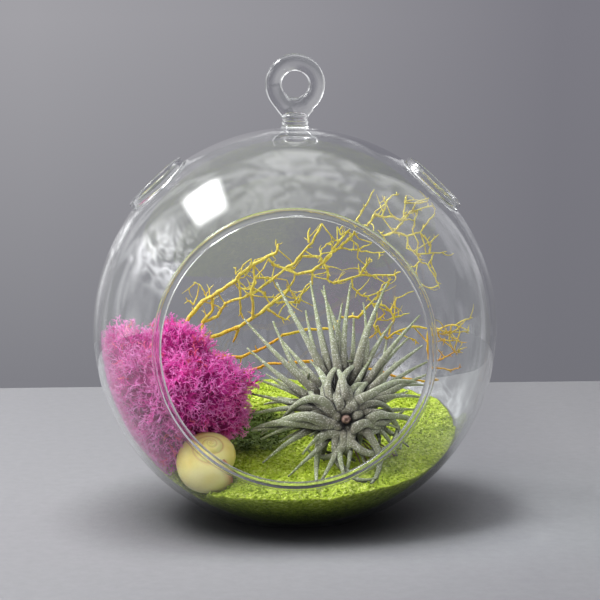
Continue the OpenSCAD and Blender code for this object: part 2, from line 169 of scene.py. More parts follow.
def mark(mesh, label, values):
    """Keeps a value of each vertex in the mesh, for its finish to read."""
    mesh.attributes.new(label, "FLOAT", "POINT").data.foreach_set("value", values)


def join_all(pieces, name):
    bpy.ops.object.select_all(action="DESELECT")
    for piece in pieces:
        piece.select_set(True)
    bpy.context.view_layer.objects.active = pieces[0]
    if len(pieces) > 1:
        bpy.ops.object.join()
    return named(name)


def drawn_line(name, points):
    """An open outline, drawn from point to point."""
    bpy.ops.mesh.primitive_plane_add(size=0.001)
    piece = named(name)
    open_up(piece)
    bpy.ops.mesh.merge(type="CENTER")
    bpy.ops.transform.translate(value=points[0])
    for a, b in zip(points, points[1:]):
        bpy.ops.mesh.extrude_vertices_move(TRANSFORM_OT_translate={"value": b - a})
    close_up()
    return piece


def turned(name, points, steps):
    """A turned form, spun from its half outline round the upright axis."""
    piece = drawn_line(name, points)
    open_up(piece)
    bpy.ops.mesh.spin(steps=steps, angle=2 * math.pi, center=(0, 0, 0), axis=(0, 0, 1))
    bpy.ops.mesh.select_all(action="SELECT")
    bpy.ops.mesh.remove_doubles(threshold=2e-6)
    bpy.ops.mesh.normals_make_consistent(inside=False)
    close_up()
    return piece


# Blown glass globe


def wall_outline(inset):
    """Half outline of the blown wall, from the middle of the foot up to the crown."""
    points = [Vector((x, 0, inset)) for x in (0, 0.007, 0.014, 0.02)]
    bend = Vector((FOOT_R, 0, FOOT_BEND))
    turn = math.atan2(bend.z - MIDDLE.z, bend.x)
    for i in range(6):
        a = -math.pi / 2 + (turn + math.pi / 2) * i / 6
        points.append(bend + Vector((math.cos(a), 0, math.sin(a))) * (FOOT_BEND - inset))
    rings = 104
    for i in range(rings + 1):
        a = turn + (math.pi / 2 - turn) * i / rings
        points.append(MIDDLE + Vector((math.cos(a), 0, math.sin(a))) * (GLOBE_R - inset))
    return points


def contact(ring_r, surface_r):
    """Where the mouth's bead meets a face of the wall: distance from the opening's axis, and height on it."""
    along = (MID_R ** 2 + surface_r ** 2 - RIM_R ** 2) / (2 * MID_R)
    a = math.asin(ring_r / MID_R) + math.asin(math.sqrt(surface_r ** 2 - along ** 2) / surface_r)
    return surface_r * math.sin(a), surface_r * math.cos(a)


def rolled(middle, bead_r, start, end, steps):
    """Points round a melted bead, each as distance from the opening's axis and height on it."""
    turns = [start + (end - start) * i / steps for i in range(steps + 1)]
    return [(middle[0] + bead_r * math.cos(a), middle[1] + bead_r * math.sin(a)) for a in turns]


def mouth_edge():
    """Edge of the mouth: a bead melted round, from the outer face of the wall to the inner one."""
    outer, inner = contact(MOUTH_R, GLOBE_R), contact(MOUTH_R, INSIDE_R)
    middle = (MOUTH_R, math.sqrt(MID_R ** 2 - MOUTH_R ** 2))
    start = math.atan2(outer[1] - middle[1], outer[0] - middle[0])
    end = math.atan2(inner[1] - middle[1], inner[0] - middle[0]) + 2 * math.pi
    return rolled(middle, RIM_R, start, end, 14)


def vent_edge():
    """Edge of a vent: a short lip drawn out of the wall, with a bead melted round on it."""
    outer, inner = VENT_R + 0.0018, VENT_R - 0.0012
    foot = (outer, math.sqrt(GLOBE_R ** 2 - outer ** 2))
    neck = (inner, math.sqrt(INSIDE_R ** 2 - inner ** 2))
    bead = rolled((VENT_R, VENT_BEAD_OUT), VENT_BEAD_R, math.radians(-40), math.radians(222), 14)
    return [foot, (outer - 0.0005, foot[1] + 0.00017)] + bead + [(inner + 0.00014, neck[1] + 0.001), neck]


def on_ring(direction, ring):
    def test(place):
        arm = place - MIDDLE
        h = arm.dot(direction)
        return abs(h - ring[1]) < 4e-6 and abs((arm - direction * h).length - ring[0]) < 8e-5
    return test


def vent_direction(side):
    lean = math.sin(VENT_TILT)
    return Vector((side * lean * math.cos(VENT_TURN), -lean * math.sin(VENT_TURN), math.cos(VENT_TILT)))


def blown_globe():
    outside = turned("globe_outside", wall_outline(0), 180)
    inside = turned("globe_inside", wall_outline(WALL), 180)
    openings = [(Vector((0, -1, 0)), mouth_edge())]
    openings += [(vent_direction(side), vent_edge()) for side in (1, -1)]
    for direction, edge in openings:
        for piece, ring in ((outside, edge[0]), (inside, edge[-1])):
            open_up(piece)
            bpy.ops.mesh.bisect(
                plane_co=MIDDLE + direction * ring[1], plane_no=direction, clear_outer=True, threshold=1e-6)
            close_up()
        # The edge is drawn out of the outer face and rolled over, ring by ring
        pick(outside, on_ring(direction, edge[0]))
        for here, there in zip(edge, edge[1:-1]):
            step = direction * (there[1] - here[1])
            bpy.ops.mesh.extrude_region_move(TRANSFORM_OT_translate={"value": step})
            bpy.ops.transform.resize(
                value=(there[0] / here[0],) * 3, center_override=MIDDLE + direction * there[1])
        close_up()
    globe = join_all([outside, inside], "glass_globe_blown")
    for direction, edge in openings:
        on_edge, on_wall = on_ring(direction, edge[-2]), on_ring(direction, edge[-1])
        pick(globe, lambda place: on_edge(place) or on_wall(place))
        bpy.ops.mesh.bridge_edge_loops()
        close_up()
    face_outwards(globe)
    return globe


def tubes(name, runs, tube_r, rounding, kind="POLY", capped=True):
    """Runs of points, each a place and its share of the thickness, as tubes in one mesh."""
    bpy.ops.curve.primitive_bezier_curve_add()
    piece = named(name)
    piece.data.splines.clear()
    for run in runs:
        spline = piece.data.splines.new(kind)
        spline.points.add(len(run) - 1)
        for point, (place, share) in zip(spline.points, run):
            point.co = (*place, 1)
            point.radius = share
        if kind == "NURBS":
            spline.use_endpoint_u = True
            spline.order_u = 3
            spline.resolution_u = 8
    piece.data.dimensions = "3D"
    piece.data.bevel_depth = tube_r
    piece.data.bevel_resolution = rounding
    piece.data.use_fill_caps = capped
    only(piece)
    bpy.ops.object.convert(target="MESH")
    return piece


def bent_rod(name, paths, rod_r):
    """Rods bent along paths, whose points may give their share of the thickness."""
    runs = [[(p[:3], p[3] if len(p) > 3 else 1) for p in path] for path in paths]
    return tubes(name, runs, rod_r, 6, "NURBS")


def hanging_loop():
    """The bent glass rod, its neck with melted rings, and the button in the crown."""
    def at(x, y, z):
        return (CROWN.x + x / 1000, CROWN.y + y / 1000, CROWN.z + z / 1000)

    eye = EYE_RISE * 1000
    bend = LOOP_BEND * 1000

    def eye_point(angle):
        turn = math.radians(angle)
        return at(bend * math.cos(turn), 0.2 - 0.5 * (200 - angle) / 360, eye + bend * math.sin(turn))

    ring = [eye_point(angle) for angle in range(200, -190, -15)]
    left = [
        at(-0.9, 0.3, 2.0), at(-1.4, 0.4, 3.8), at(-2.7, 0.5, 6.0), at(-4.6, 0.4, 8.4), at(-6.4, 0.3, 11.0)]
    right = [
        at(6.6, -0.1, 11.2), at(5.2, -0.4, 9.6), at(2.8, -0.7, 8.0), at(0.2, -0.9, 6.9),
        at(-1.5, -0.6, 5.3), at(-1.2, -0.3, 3.4), at(-0.6, 0, 2.0)]
    web = [at(4.6, 0, 8.4), at(2.4, 0, 6.0), at(1.4, 0, 3.8), at(1.0, 0, 2.0)]
    rod = bent_rod("loop_rod", [left + ring, right, web], LOOP_ROD)
    neck = turned("loop_neck", [Vector((x / 1000, 0, CROWN.z + z / 1000)) for x, z in (
        (0, 5.6), (2.8, 5.4), (4.3, 4.8), (4.95, 4.0), (4.95, 3.5), (4.5, 2.9), (4.5, 2.6), (5.0, 2.1),
        (5.1, 1.6), (4.6, 1.05), (4.7, 0.7), (5.2, 0.2), (5.9, -0.4), (7.6, -0.9), (8.4, -1.6), (8.6, -2.6),
        (8.2, -3.6), (7.2, -4.3), (5.8, -4.4), (4.7, -4.2), (3.5, -4.7), (1.8, -5.2), (0, -5.4))], 96)
    loop = join_all([rod, neck], "loop")
    remesh = loop.modifiers.new("Melt", "REMESH")
    remesh.mode = "VOXEL"
    remesh.voxel_size = 0.0003
    soften = loop.modifiers.new("Soften", "SMOOTH")
    soften.factor = 0.5
    soften.iterations = 9
    finish_modifiers(loop)
    return loop


def make_globe():
    globe = blown_globe()
    loop = hanging_loop()
    fuse = globe.modifiers.new("Fuse", "BOOLEAN")
    fuse.operation = "UNION"
    fuse.solver = "EXACT"
    fuse.object = loop
    finish_modifiers(globe)
    bpy.data.objects.remove(loop)
    only(globe)
    bpy.ops.object.shade_smooth_by_angle(angle=math.radians(38))
    return globe


# Sand


def sand_plane(x, y):
    return SAND_MID + y * SAND_BACK + x * SAND_SIDE


def sand_height(x, y):
    """Height of the sand, with its low waves and lumps and the dent that the shell lies in."""
    a, b = math.radians(11000 * x + 4000 * y), math.radians(9000 * y - 5000 * x)
    z = sand_plane(x, y) + 0.00035 * (math.sin(a) + math.cos(b))
    z += 0.0005 * math.sin(math.radians(30000 * x + 9000 * y)) * math.cos(math.radians(27000 * y - 12000 * x))
    off = math.hypot(x - SHELL_AT.x, y - SHELL_AT.y)
    dent = SHELL_R + 0.0004
    if off < dent:
        z = min(z, SHELL_AT.z - math.sqrt(dent ** 2 - off ** 2))
    return z


def shore(a):
    """Distance from the middle at which the sand meets the glass, in one direction."""
    r = 0.05
    for _ in range(8):
        r = math.sqrt(FILL_R ** 2 - (sand_height(r * math.cos(a), r * math.sin(a)) - MIDDLE.z) ** 2)
    return r


def crumbs(x, y, size, height):
    """Rough lumps of about one size."""
    return height * noise.fractal(Vector((x / size, y / size, 3.7)), 0.9, 2.1, 3)


def make_sand():
    """A flat round of rings, draped over the heap and down inside the glass to the foot."""
    sides, rings = 240, SAND_RINGS
    bpy.ops.mesh.primitive_circle_add(vertices=sides, radius=1 / rings, fill_type="TRIFAN")
    sand = named("sand_heap")
    pick(sand, lambda place: place.length > 0.5 / rings)
    for i in range(1, rings + BURIED_RINGS):
        bpy.ops.mesh.extrude_region_move()
        bpy.ops.transform.resize(value=((i + 1) / i,) * 3, center_override=(0, 0, 0))
    bpy.ops.mesh.edge_face_add()
    close_up()
    shores, buried = {}, []
    foot_low = math.acos(FILL_FOOT_R / FILL_R)
    for vertex in sand.data.vertices:
        x, y = vertex.co.x, vertex.co.y
        a, t = math.atan2(y, x), math.hypot(x, y)
        key = round(a * 1000)
        if key not in shores:
            shores[key] = shore(a)
        edge = shores[key]
        buried.append(max(0, t - 1) * rings / BURIED_RINGS)
        if t <= 1.0001:
            r = edge * t
            x, y = r * math.cos(a), r * math.sin(a)
            fade = min(1, (1.0001 - t) * 12)
            z = sand_height(x, y) + fade * (crumbs(x, y, 0.006, 0.00035) + crumbs(x, y, 0.0018, 0.0003))
            vertex.co = (x, y, z)
        else:
            low = math.acos(edge / FILL_R)
            low += (foot_low - low) * (t - 1) / (BURIED_RINGS / rings)
            r = FILL_R * math.cos(low)
            vertex.co = (r * math.cos(a), r * math.sin(a), MIDDLE.z - FILL_R * math.sin(low))
    sand.data.update()
    mark(sand.data, "buried", buried)
    face_outwards(sand)
    return smooth(sand)


def copies(name, patterns, places):
    """Many copies of small forms in one piece: each place is (pattern number, matrix)."""
    shapes = []
    for pattern in patterns:
        count = len(pattern.data.vertices)
        spots = np.empty(count * 3)
        pattern.data.vertices.foreach_get("co", spots)
        faces = [tuple(p.vertices) for p in pattern.data.polygons]
        tips = None
        if "tip" in pattern.data.attributes:
            tips = np.empty(count)
            pattern.data.attributes["tip"].data.foreach_get("value", tips)
        shapes.append((spots.reshape(-1, 3), faces, tips))
    spots, faces, tips, shades, base = [], [], [], [], 0
    dice = random.Random(11)
    for number, matrix in places:
        shape, shape_faces, shape_tips = shapes[number]
        m = np.array(matrix)
        spots.append(shape @ m[:3, :3].T + m[:3, 3])
        faces += [tuple(v + base for v in face) for face in shape_faces]
        tips.append(shape_tips if shape_tips is not None else np.zeros(len(shape)))
        shades.append(np.full(len(shape), dice.random()))
        base += len(shape)
    mesh = bpy.data.meshes.new(name)
    mesh.from_pydata(np.concatenate(spots).tolist(), [], faces)
    for label, values in (("tip", tips), ("shade", shades)):
        mark(mesh, label, np.concatenate(values))
    piece = bpy.data.objects.new(name, mesh)
    bpy.context.scene.collection.objects.link(piece)
    for pattern in patterns:
        bpy.data.objects.remove(pattern)
    return piece


def scatter_grains():
    """Loose grains of the dyed sand that lie on the heap."""
    patterns = []
    for k in range(3):
        bpy.ops.mesh.primitive_ico_sphere_add(subdivisions=1, radius=1)
        grain = named("grain_%d" % k)
        for vertex in grain.data.vertices:
            vertex.co *= 1 + 0.45 * noise.noise(vertex.co * 1.3 + Vector((k * 7, 0, 0)))
        patterns.append(grain)
    dice = random.Random(4)
    reach, shore_gap = 0.0665, 0.0009
    places = []
    while len(places) < GRAINS:
        a, r = dice.uniform(0, 2 * math.pi), reach * math.sqrt(dice.random())
        x, y = r * math.cos(a), r * math.sin(a)
        if r > shore(a) - shore_gap:
            continue
        z = sand_height(x, y) + crumbs(x, y, 0.006, 0.00035)
        size = dice.uniform(0.00028, 0.0006)
        angle = dice.uniform(0, 6.28)
        axis = Vector((dice.random(), dice.random(), dice.random() + 0.1)).normalized()
        kind = dice.randrange(3)
        spot = Matrix.Translation((x, y, z + size * dice.uniform(-0.2, 0.6)))
        places.append((kind, spot @ Matrix.Rotation(angle, 4, axis) @ Matrix.Scale(size, 4)))
    return copies("sand_grains", patterns, places)


# Air plant


# Long leaves: direction round the stem in degrees, then reach outwards, reach forwards and rise of
# the middle, as shares of LEAF_REACH
LEAVES = [
    (117, 1, 0.43, -0.04), (104, 0.93, 0.46, -0.02), (99, 0.88, 0.39, 0), (87, 0.89, 0.46, 0),
    (91, 0.75, 0.36, 0.02), (72, 0.93, 0.43, 0.04), (76, 0.62, 0.5, 0.02), (110, 0.75, 0.54, 0),
    (95, 0.64, 0.59, 0), (80, 0.77, 0.55, 0.02),
    (53, 0.84, 0.36, 0.05), (50, 0.68, 0.43, 0.05), (42, 0.7, 0.32, 0.05), (33, 0.66, 0.36, 0.07),
    (27, 0.62, 0.25, 0.07), (21, 0.57, 0.32, 0.07), (13, 0.54, 0.21, 0.07), (-3, 0.43, 0.18, 0.09),
    (41, 0.3, 0.07, 0.07), (-36, 0.41, 0.04, 0.09), (62, 0.71, 0.54, 0.04), (5, 0.48, 0.36, 0.09),
    (136, 0.93, 0.32, -0.04), (127, 0.79, 0.39, -0.04), (145, 0.79, 0.29, 0), (157, 0.62, 0.25, 0.02),
    (152, 0.59, 0.36, 0.02), (166, 0.64, 0.21, 0.04), (179, 0.64, 0.18, 0.05), (188, 0.62, 0.14, 0.07),
    (194, 0.57, 0.07, 0.09), (130, 0.68, 0.54, 0), (172, 0.54, 0.36, 0.05),
    (208, 0.61, 0, 0.07), (218, 0.36, -0.11, 0.07), (246, 0.48, -0.2, 0.05), (268, 0.39, -0.16, 0.05),
    (224, 0.52, -0.14, 0.07), (200, 0.46, 0.11, 0.09), (292, 0.34, -0.07, 0.05), (312, 0.39, 0.07, 0.07),
    (335, 0.46, 0.18, 0.09), (257, 0.34, 0.07, 0.05)]
INNER_LEAVES = [
    (100, 0.86, 0.62, 0.02), (60, 0.6, 0.66, 0.02), (140, 0.56, 0.64, 0.02), (20, 0.46, 0.5, 0.04),
    (165, 0.46, 0.5, 0.04), (84, 0.7, 0.7, 0), (118, 0.8, 0.6, 0), (45, 0.5, 0.6, 0.02),
    (122, 0.44, 0.16, 0.04), (66, 0.42, 0.2, 0.03), (205, 0.26, -0.04, 0.03), (232, 0.3, -0.02, 0.03),
    (350, 0.34, 0.02, 0.08)]
# Broad leaves round the stem end, each by its width and the points that it passes,
# across and up from the stem end, in millimetres
CLAWS = [
    (4.8, ((0.9, 3.1), (3.9, 10.9), (11.3, 10.9))),
    (5.0, ((-3.1, 3.1), (-7.4, 14.4), (-11.8, 20.1))),
    (5.2, ((-3.9, -2.2), (-10, 4.8), (-17, 3.9), (-24.9, -3.1))),
    (5.5, ((-4.8, -3.1), (-14.4, 0), (-24, -2.2), (-31, -6.5))),
    (5.4, ((-5.7, -3.9), (-17, -3.1), (-25.8, -3.1), (-34.5, -4.8))),
    (4.8, ((-0.4, -4.8), (-7.4, -3.9), (-9.2, -11.8), (-7.9, -15.3))),
    (4.6, ((-1.2, -4.6), (-8.6, -6.4), (-10.6, -15.0), (-10.9, -23.1))),
    (4.6, ((-1.3, -4.8), (-2.6, -11.8), (-0.9, -20.5))),
    (4.6, ((2.2, -4.8), (7.4, -3.1), (10.9, -6.5), (12.2, -9.2))),
    (5.0, ((3.9, -1.3), (10, 3.1), (17.9, 2.2), (25.8, -0.4))),
    (4.6, ((3.1, 3.9), (6.5, 10.9), (10, 12.7))),
    (4.6, ((4.4, 3.0), (10, 5.7), (18.8, 10.9), (26.6, 12.7)))]
# Short curled leaves close round the stem end and behind the broad ones: width, number, reach
CURLS = [(4.6, 9, 10.5), (4.2, 13, 15.5), (3.8, 15, 20.5)]
TIP_ANGLE = math.radians(7.5)
PLANT_AXIS = Vector((0, math.cos(TIP_ANGLE), -math.sin(TIP_ANGLE)))
PLANT_UP = Vector((0, math.sin(TIP_ANGLE), math.cos(TIP_ANGLE)))


def leaf_path(row):
    """Points that a long leaf passes, as in the solid plant."""
    turn = math.radians(row[0])
    out = Vector((math.cos(turn), 0, 0)) + PLANT_UP * math.sin(turn)
    start = PLANT_BASE + PLANT_AXIS * (0.0061 + LEAF_REACH * row[2] * 0.08) + out * 0.0024
    tip = PLANT_BASE + (out * row[1] + PLANT_AXIS * row[2]) * LEAF_REACH
    middle = (start + tip) / 2 + (PLANT_UP * row[3] - PLANT_AXIS * (0.05 + row[1] * 0.14)) * LEAF_REACH
    return [start * (1 - s) ** 2 + middle * 2 * s * (1 - s) + tip * s * s for s in (0, 0.2, 0.4, 0.6, 0.8, 1)]


def claw_path(points):
    """Points that a broad leaf passes: it comes forward from the stem, arches, and clears the sand."""
    x, z = points[0]
    path = [PLANT_BASE + PLANT_AXIS * 0.0075 + Vector((x, 0, 0)) * 0.0003 + PLANT_UP * z * 0.0003]
    long = math.hypot(*points[-1])
    for i, (x, z) in enumerate(points):
        s = math.hypot(x, z) / long
        depth = 0.0055 - 0.0105 * math.sin(math.pi * min(1, s * 1.1)) + 0.005 * s * s * (1 if z > -8 else -1)
        spot = PLANT_BASE + PLANT_AXIS * depth + Vector((x / 1000, 0, 0)) + PLANT_UP * z / 1000
        for _ in range(40):
            if spot.z > sand_height(spot.x, spot.y) + 0.0009:
                break
            spot -= PLANT_AXIS * 0.0008
        path.append(spot)
    return path


def curled_points(number, count, reach, dice):
    """A short leaf that swings round the stem end as it goes out."""
    a = 2 * math.pi * (number + dice.uniform(-0.25, 0.25)) / count
    swing = dice.choice((-1, 1)) * dice.uniform(0.35, 1.0)
    reach *= dice.uniform(0.86, 1.16)
    points = []
    for s, t in ((0.3, 0), (0.66, 0.35), (0.9, 0.75), (1, 1.1)):
        points.append((reach * s * math.cos(a + swing * t), reach * s * math.sin(a + swing * t)))
    return points


def along_path(path, s):
    """A place on the smooth line through the points, and the way ahead there."""
    last = len(path) - 1
    i = min(last - 1, int(s * last))
    t = s * last - i
    p = [path[max(0, i - 1)], path[i], path[i + 1], path[min(last, i + 2)]]
    first = p[2] - p[0]
    second = p[0] * 2 - p[1] * 5 + p[2] * 4 - p[3]
    third = p[1] * 3 - p[0] - p[2] * 3 + p[3]
    place = p[1] + first * t / 2 + second * t * t / 2 + third * t ** 3 / 2
    ahead = first / 2 + second * t + third * 1.5 * t * t
    return place, ahead.normalized()


def shape_leaf(leaf, path, width, taper, dice):
    """Bends a flat strip into a tapering leaf along its path, rounded towards the viewer, with a fine tip."""
    reach = sum((b - a).length for a, b in zip(path, path[1:]))
    bow = dice.uniform(-0.11, 0.11) * reach
    lift = dice.uniform(-0.3, 1) * 0.05 * reach
    swing = dice.uniform(-0.3, 0.3)
    for vertex in leaf.data.vertices:
        s, v = vertex.co.x + 0.5, vertex.co.y * 2
        place, ahead = along_path(path, s)
        across = ahead.cross(PLANT_AXIS).normalized()
        keel = ahead.cross(across)
        sideways = across * bow * math.sin(math.pi * s) * (1 - 0.3 * s)
        place += sideways - PLANT_AXIS * lift * math.sin(math.pi * min(1, s * 1.15))
        w = width * (1 - s ** 1.25) ** taper * (0.84 + 0.16 * math.sin(math.pi * min(1, s * 3))) / 2 + 0.00011
        spread = math.radians(50 + 24 * s)
        a = v * spread + swing * s * 0.6
        r = w / math.sin(spread)
        vertex.co = place + across * r * math.sin(a) + keel * (math.cos(a) - math.cos(spread)) * r * 0.9


def make_leaves():
    dice = random.Random(21)
    leaves = []
    rows = []
    for row in LEAVES + INNER_LEAVES:
        rows.append((leaf_path(row), LEAF_WIDTH * (0.62 + 0.42 * row[1]) * dice.uniform(0.88, 1.12), 1.25))
    rows += [(claw_path(points), width / 900, 0.95) for width, points in CLAWS]
    for width, count, reach in CURLS:
        rows += [(claw_path(curled_points(i, count, reach, dice)), width / 1000, 0.95) for i in range(count)]
    for path, width, taper in rows:
        bpy.ops.mesh.primitive_grid_add(x_subdivisions=24, y_subdivisions=6, size=1)
        leaf = named("leaf")
        shape_leaf(leaf, path, width, taper, dice)
        leaves.append(leaf)
    plant = join_all(leaves, "air_plant_leaves")
    thick = plant.modifiers.new("Flesh", "SOLIDIFY")
    thick.thickness = 0.0005
    thick.offset = 0
    finish_modifiers(plant)
    face_outwards(plant)
    return smooth(plant)


def make_stem():
    """The cut end of the stem in the middle of the leaf bases, and the dry bases round it."""
    def ball(name, depth, shape):
        bpy.ops.mesh.primitive_uv_sphere_add(segments=40, ring_count=24, radius=1)
        piece = named(name)
        for vertex in piece.data.vertices:
            vertex.co = shape(vertex.co, math.atan2(vertex.co.y, vertex.co.x))
        piece.matrix_world = Matrix.Translation(PLANT_BASE + PLANT_AXIS * depth) @ upright(-PLANT_AXIS)
        settle(piece)
        return smooth(piece)

    def cut_end(spot, a):
        dimple = 1 - 0.3 * max(0, spot.z) ** 14
        ridge = 1 + 0.02 * math.cos(5 * a) + 0.16 * noise.noise(spot * 1.5)
        return Vector((spot.x * 0.0018 * ridge, spot.y * 0.0016 * ridge, spot.z * 0.0058 * dimple))

    def dry_bases(spot, a):
        fold = 1 + 0.1 * math.cos(7 * a + 3 * spot.z)
        return Vector((spot.x * 0.0054 * fold, spot.y * 0.0054 * fold, spot.z * 0.0085))

    return ball("plant_stem", -0.0022, cut_end), ball("plant_bulb", 0.0105, dry_bases)


def make_roots():
    dice = random.Random(8)
    paths = []
    middle = PLANT_BASE + PLANT_AXIS * 0.0068
    for i in range(9):
        reach = 0.017 * (0.35 + 0.13 * i)
        knee = middle + Vector((reach * 0.55, dice.uniform(-0.006, 0.004), -0.0085 - dice.uniform(0, 0.003)))
        end = middle + Vector((reach, dice.uniform(-0.01, 0.006), -0.0188))
        sway = drawn(dice, (-1, 1), (-1, 1), (0, 1))
        mid = (knee + end) / 2 + sway * 0.0014
        paths.append([(*(middle - PLANT_UP * 0.003), 1), (*knee, 0.8), (*mid, 0.6), (*end, 0.35)])
    roots = bent_rod("plant_roots", paths, 0.00042)
    return smooth(roots)


# Dyed branch


# Limbs: start and end thickness as shares, then points across and up from the globe's middle, in
# hundredths of its inside radius
LIMBS = [
    (1.0, 0.5, ((-63, -59), (-62, -47), (-60, -36), (-59, -27), (-58, -19), (-52, -14), (-49, -10),
        (-40, -7), (-31, -3), (-25, 1), (-19, 5), (-13, 10), (-6, 15), (-3, 19))),
    (0.8, 0.4, ((-59, -27), (-60, -5), (-56, 3), (-49, 11), (-41, 16), (-32, 22), (-29, 26),
        (-22, 31), (-15, 35), (-10, 37), (-9, 42))),
    (0.6, 0.45, ((-49, -10), (-49, 0), (-44, 6), (-44, 12), (-46, 14))),
    (0.5, 0.35, ((-49, 0), (-41, 3), (-39, 7), (-37, 10), (-29, 13), (-23, 16), (-19, 18),
        (-12, 23), (-5, 29), (0, 32), (5, 39), (9, 43), (14, 53))),
    (0.5, 0.35, ((-5, 29), (1, 26), (9, 28), (15, 33), (19, 38), (24, 41), (28, 45), (31, 48))),
    (0.5, 0.4, ((-23, 2), (-22, 9), (-23, 17), (-21, 24), (-22, 31))),
    (0.25, 0.15, ((-30, 24), (-29, 18), (-29, 13), (-29, 6), (-27, 2))),
    (0.4, 0.2, ((-30, -4), (-33, -11))),
    (0.2, 0.1, ((-29, 19), (-25, 18), (-22, 19))),
    (0.25, 0.15, ((-21, 24), (-16, 24), (-12, 24))),
    (0.15, 0.1, ((-16, 17), (-15, 14), (-9, 14))),
    (0.3, 0.15, ((-15, 9), (-9, 4), (-5, 2), (0, 6))),
    (0.25, 0.15, ((-10, 11), (-4, 11), (2, 11), (4, 16), (9, 21), (9, 27))),
    (0.2, 0.15, ((0, 27), (-1, 22), (-4, 18), (-6, 15))),
    (0.4, 0.3, ((-14, 34), (-11, 31), (-6, 29), (0, 29))),
    (0.15, 0.0, ((-2, 30), (-2, 33))),
    (0.2, 0.0, ((13, 36), (14, 40), (18, 43), (21, 44))),
    (0.25, 0.2, ((4, 36), (13, 36), (15, 33))),
    (0.3, 0.1, ((7, 43), (7, 48), (8, 51))),
    (0.2, 0.1, ((9, 27), (9, 22), (6, 20), (3, 14), (2, 10))),
    (0.5, 0.3, ((-56, -16), (-29, -19), (-23, -16), (-16, -13), (-12, -10), (-7, -6))),
    (0.4, 0.4, ((-7, -6), (7, -3), (20, -3))),
    (0.5, 0.3, ((-60, -36), (-30, -27), (-24, -26), (-18, -24), (-14, -22), (-5, -21))),
    (0.4, 0.15, ((-5, -21), (16, -20), (41, -24), (58, -28), (66, -29), (70, -30), (76, -29))),
    (0.15, 0.0, ((-54, 9), (-58, 13))),
    (0.2, 0.0, ((-47, 13), (-48, 16), (-51, 20), (-54, 21))),
    (0.15, 0.0, ((-31, 26), (-31, 30))),
    (0.15, 0.0, ((-22, 31), (-23, 34))),
    (0.35, 0.2, ((20, 40), (26, 47), (29, 50))),
    (0.35, 0.3, ((31, 48), (32, 54), (34, 52), (38, 52), (40, 55), (41, 58), (45, 57),
        (51, 57), (56, 55), (53, 51), (51, 49), (46, 47))),
    (0.35, 0.05, ((56, 55), (58, 58), (61, 60), (68, 62), (73, 63))),
    (0.25, 0.0, ((56, 55), (57, 62), (58, 68))),
    (0.2, 0.05, ((57, 64), (64, 64), (69, 65), (70, 67))),
    (0.3, 0.05, ((32, 54), (35, 60), (38, 65), (41, 71))),
    (0.25, 0.0, ((45, 57), (47, 64), (45, 68))),
    (0.2, 0.0, ((47, 64), (50, 68), (54, 69))),
    (0.35, 0.05, ((51, 49), (58, 47), (58, 41), (63, 38), (68, 38), (79, 39))),
    (0.25, 0.0, ((58, 47), (65, 49), (69, 54), (73, 59), (73, 62))),
    (0.15, 0.05, ((61, 49), (62, 55), (64, 60))),
    (0.25, 0.0, ((70, 38), (70, 43), (75, 48))),
    (0.15, 0.0, ((70, 42), (67, 48))),
    (0.3, 0.1, ((63, 38), (64, 36), (65, 34), (62, 31), (59, 31))),
    (0.2, 0.0, ((65, 34), (69, 32), (73, 26), (75, 20))),
    (0.2, 0.0, ((72, 38), (70, 34), (69, 32))),
    (0.15, 0.0, ((46, 47), (43, 50))),
    (0.25, 0.05, ((20, 40), (26, 40), (33, 39), (36, 41), (40, 43))),
    (0.2, 0.0, ((33, 39), (39, 38), (46, 38))),
    (0.2, 0.0, ((24, 47), (22, 51))),
    (0.4, 0.3, ((15, 32), (17, 29), (17, 24), (20, 22))),
    (0.4, 0.1, ((20, 22), (27, 24), (34, 26), (42, 26), (51, 26), (55, 28))),
    (0.25, 0.0, ((34, 26), (37, 31), (39, 35))),
    (0.15, 0.0, ((34, 26), (33, 32))),
    (0.25, 0.15, ((30, 24), (30, 20), (34, 16), (38, 15), (40, 12))),
    (0.35, 0.2, ((40, 12), (41, 11), (47, 10), (50, 7), (52, 3), (50, 0), (49, -5))),
    (0.15, 0.0, ((40, 12), (43, 15), (46, 21), (51, 24))),
    (0.15, 0.0, ((42, 13), (49, 21), (50, 25))),
    (0.2, 0.0, ((50, 7), (53, 14), (62, 18))),
    (0.2, 0.0, ((52, 4), (60, 6))),
    (0.2, 0.1, ((47, 6), (43, 3), (41, 0), (43, -3), (45, -5))),
    (0.45, 0.35, ((20, -3), (24, 4), (33, 4), (40, 12))),
    (0.3, 0.2, ((43, 0), (45, -5), (48, -7), (52, -4), (62, -1), (71, -2))),
    (0.25, 0.0, ((71, -2), (76, -2), (79, 0), (84, 1), (89, 4), (93, 5))),
    (0.2, 0.0, ((74, -2), (76, -7), (81, -8), (86, -7))),
    (0.2, 0.0, ((79, -1), (80, -4), (86, -3), (91, -2))),
    (0.15, 0.0, ((82, 1), (81, -4), (83, -8))),
    (0.35, 0.25, ((70, -3), (70, -10), (70, -18))),
    (0.25, 0.0, ((70, -18), (74, -19), (79, -17), (84, -14), (90, -11))),
    (0.1, 0.0, ((84, -14), (88, -14))),
    (0.2, 0.0, ((70, -21), (76, -23), (83, -24), (88, -22))),
    (0.2, 0.0, ((52, -4), (56, -5), (60, -7), (63, -8), (65, -10)))]
BRANCH_DEPTH = 0.016
TRUNK_D = 0.0021
TWIG_D = 0.00036


def on_branch(point):
    x, z = point[0] * INSIDE_R / 100, point[1] * INSIDE_R / 100
    kink = 0.03 * INSIDE_R * math.sin(math.radians(7 * point[0] + 5 * point[1]))
    return Vector((x, BRANCH_DEPTH - 0.12 * x - 0.03 * z + kink, MIDDLE.z + z))


def kept_inside(place):
    """Keeps a twig's point clear of the glass."""
    arm = place - MIDDLE
    return place if arm.length < TWIG_REACH else MIDDLE + arm.normalized() * TWIG_REACH


